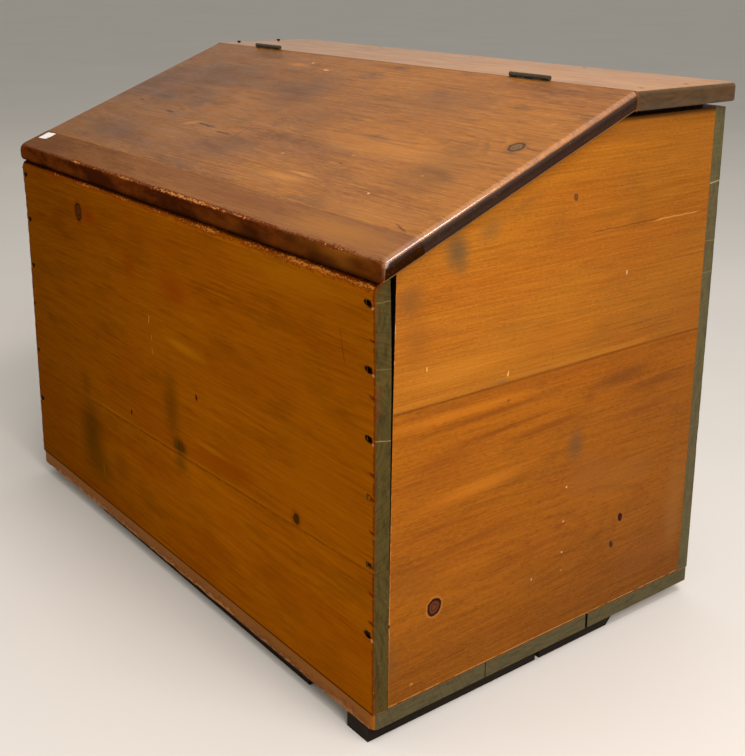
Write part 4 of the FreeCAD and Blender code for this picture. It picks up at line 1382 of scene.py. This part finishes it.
lidWork = {
    "endRound": 11 * mm, "noseRound": 5 * mm, "joint": 0.4 * mm, "step": 5 * mm,
    "frontWear": {
        "seed": 51, "scale": 60, "depth": 1.0 * mm, "reach": 3 * mm, "rubbed": 0, "uneven": 0.45,
        "places": [
            (onNose, 6.5 * mm, 0.6),
            (lambda p: onNose(p) and p.x > -0.3, 7.5 * mm, 0.82),
        ],
    },
    "mainWear": {"seed": 57, "scale": 50, "depth": 0.6 * mm, "reach": 3 * mm, "rubbed": 0},
    "warp": (0.5 * mm, 0.3),
}


def startLidBoard(name, first, last):
    # a board laid on the lid's slope, between two distances up from its front edge
    piece = startBoard(name, (-lidEnd, first, -lidShape["thick"]), (lidEnd, last, 0))
    piece.rotation_euler.x = lidSlope
    piece.location = lidCorner
    applyPlace()
    return piece


def onSeam(point):
    return abs((point - lidCorner).dot(upSlope) - lidShape["frontBoard"]) < 1 * mm


def makeLidFront(work):
    piece = startLidBoard("lidFrontBoard", -lidShape["thick"], lidShape["frontBoard"])
    trimBoard(piece, (0, frontFace, 0), (0, -1, 0))
    arrises = findArrises(piece)
    roundEdges(piece, lambda d, m: parallel(d, upSlope), work["endRound"], 6)
    roundEdges(piece, lambda d, m: m.y < frontFace + touch, work["noseRound"], 4)
    roundEdges(piece, lambda d, m: onSeam(m) and parallel(d, lengthwise), work["joint"], 2)
    cutAcross(piece, lengthwise, work["step"])
    cutAcross(piece, upSlope, work["step"])
    wearEdges(piece, arrises, work["frontWear"])
    finishBoard(piece, "lid", "lid_front_board", woods["lidFront"])


def makeLidMain(work):
    run = (hingeLine - frontFace) / math.cos(lidSlope)
    piece = startLidBoard("lidMainBoard", lidShape["frontBoard"], run + lidShape["thick"])
    trimBoard(piece, (0, lidRear, 0), (0, 1, 0))
    arrises = findArrises(piece)
    roundEdges(piece, lambda d, m: parallel(d, upSlope), work["endRound"], 6)
    roundEdges(piece, lambda d, m: onSeam(m) and parallel(d, lengthwise), work["joint"], 2)
    cutAcross(piece, lengthwise, work["step"])
    cutAcross(piece, upSlope, work["step"])
    warpFaces(piece, *work["warp"], 6.6)
    leafMortises(piece, "lid", -1)
    wearEdges(piece, arrises, work["mainWear"])
    finishBoard(piece, "lid", "lid_main_board", woods["lidMain"])


makeLidFront(lidWork)
makeLidMain(lidWork)
print("lid boards made")


# A blank paper sticker near the lid's front left corner

sticker = {
    "middle": (-476.5 * mm, 40 * mm),     # along the lid, and up its slope
    "size": (29 * mm, 20 * mm),
    "thick": 0.2 * mm,
    "turn": 4,
    "curl": 0.7 * mm,
}


def makeSticker(paper):
    bpy.ops.object.select_all(action="DESELECT")
    bpy.ops.mesh.primitive_grid_add(x_subdivisions=24, y_subdivisions=16, size=1)
    piece = bpy.context.object
    piece.name = piece.data.name = "paperSticker"
    piece.scale = (paper["size"][0], paper["size"][1], 1)
    applyPlace()
    corner = Vector((paper["size"][0] / 2, -paper["size"][1] / 2, 0))
    selectVertices(piece, lambda co: (co - corner).length < 1 * mm)
    bpy.ops.transform.translate(
        value=(0, 0, paper["curl"]), use_proportional_edit=True, proportional_edit_falloff="SMOOTH",
        proportional_size=9 * mm,
    )
    bpy.ops.object.mode_set(mode="OBJECT")
    solid = piece.modifiers.new("paper", "SOLIDIFY")
    solid.thickness = paper["thick"]
    solid.offset = 1
    applyModifiers(piece)
    turned = Matrix.Rotation(lidSlope, 3, "X") @ Matrix.Rotation(math.radians(paper["turn"]), 3, "Z")
    piece.rotation_euler = turned.to_euler()
    piece.location = (lidCorner + Vector((paper["middle"][0], 0, 0)) + upSlope * paper["middle"][1]
                      + offLid * 0.05 * mm)
    applyPlace()
    material, tree, shader = newMaterial("stickerPaper")
    place = addNode(tree, "ShaderNodeTexCoord").outputs["Object"]
    grime = cloud(tree, place, (220, 220, 220), 4.0, 0.6, 8.0)["Fac"]
    grimy = fade(tree, grime, 0.45, 0.75, 0.0, 0.6)
    colour = blendColour(tree, grimy, tone(218, 218, 212), tone(186, 180, 168))
    tree.links.new(colour, shader.inputs["Base Color"])
    shader.inputs["Roughness"].default_value = 0.6
    piece.data.materials.append(material)
    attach(piece, "lid")


makeSticker(sticker)
print("sticker made")


# Finishes of the nodes that stay as they are

nodeFinishes = {
    "skid_left": skidWood, "skid_right": skidWood, "skid_front": frontSkidWood,
    "top_cleat": bareWood, "lid_batten": bareWood,
    "hinge": ironWorks["hinge"], "nails": ironWorks["nail"],
}
for name, node in nodes.items():
    for part, material in nodeFinishes.items():
        if part in name:
            node.data.materials.clear()
            node.data.materials.append(material)


# Floor and light

def makeStage():
    bpy.ops.object.select_all(action="DESELECT")
    bpy.ops.mesh.primitive_plane_add(size=120, location=(0, 0, 0))
    floor = bpy.context.object
    floor.name = "floor"
    material, tree, shader = newMaterial("floorPaint")
    place = addNode(tree, "ShaderNodeTexCoord").outputs["Object"]
    soft = cloud(tree, place, (1.5, 1.5, 1.5), 3.0, 0.5, 2.0)["Fac"]
    colour = blendColour(tree, soft, tone(196, 194, 190), tone(206, 204, 200))
    tree.links.new(colour, shader.inputs["Base Color"])
    shader.inputs["Roughness"].default_value = 0.75
    floor.data.materials.append(material)


lights = {
    "rightSoftbox": {"place": (3.2, -0.6, 2.4), "size": (2.2, 2.2), "power": 120, "tone": (255, 250, 244)},
    "overhead": {"place": (0.2, 0.6, 3.4), "size": (2.6, 2.6), "power": 30, "tone": (255, 252, 248)},
    "leftFill": {"place": (-1.6, -3.2, 1.8), "size": (2.4, 2.4), "power": 28, "tone": (255, 248, 236)},
    "behindLeft": {"place": (-3.4, 2.6, 2.2), "size": (4.0, 2.0), "power": 8, "tone": (255, 252, 250)},
    "stripAbove": {"place": (1.74, 0.0, 3.0), "size": (1.1, 0.5), "power": 44, "tone": (255, 240, 236)},
}


def makeLights():
    chestMiddle = Vector((0, 0, 0.4))
    for name, light in lights.items():
        data = bpy.data.lights.new(name, "AREA")
        data.shape = "RECTANGLE"
        data.size, data.size_y = light["size"]
        data.energy = light["power"]
        data.color = tone(*light["tone"])[:3]
        lamp = bpy.data.objects.new(name, data)
        lamp.location = light["place"]
        aim = chestMiddle - Vector(light["place"])
        lamp.rotation_euler = aim.to_track_quat("-Z", "Y").to_euler()
        bpy.context.scene.collection.objects.link(lamp)
    world = bpy.data.worlds.new("room")
    world.use_nodes = True
    world.node_tree.nodes["Background"].inputs["Color"].default_value = tone(238, 232, 222)
    world.node_tree.nodes["Background"].inputs["Strength"].default_value = 0.55
    bpy.context.scene.world = world
    bpy.context.scene.view_settings.view_transform = "Standard"


makeStage()
makeLights()
print("floor and lights placed")
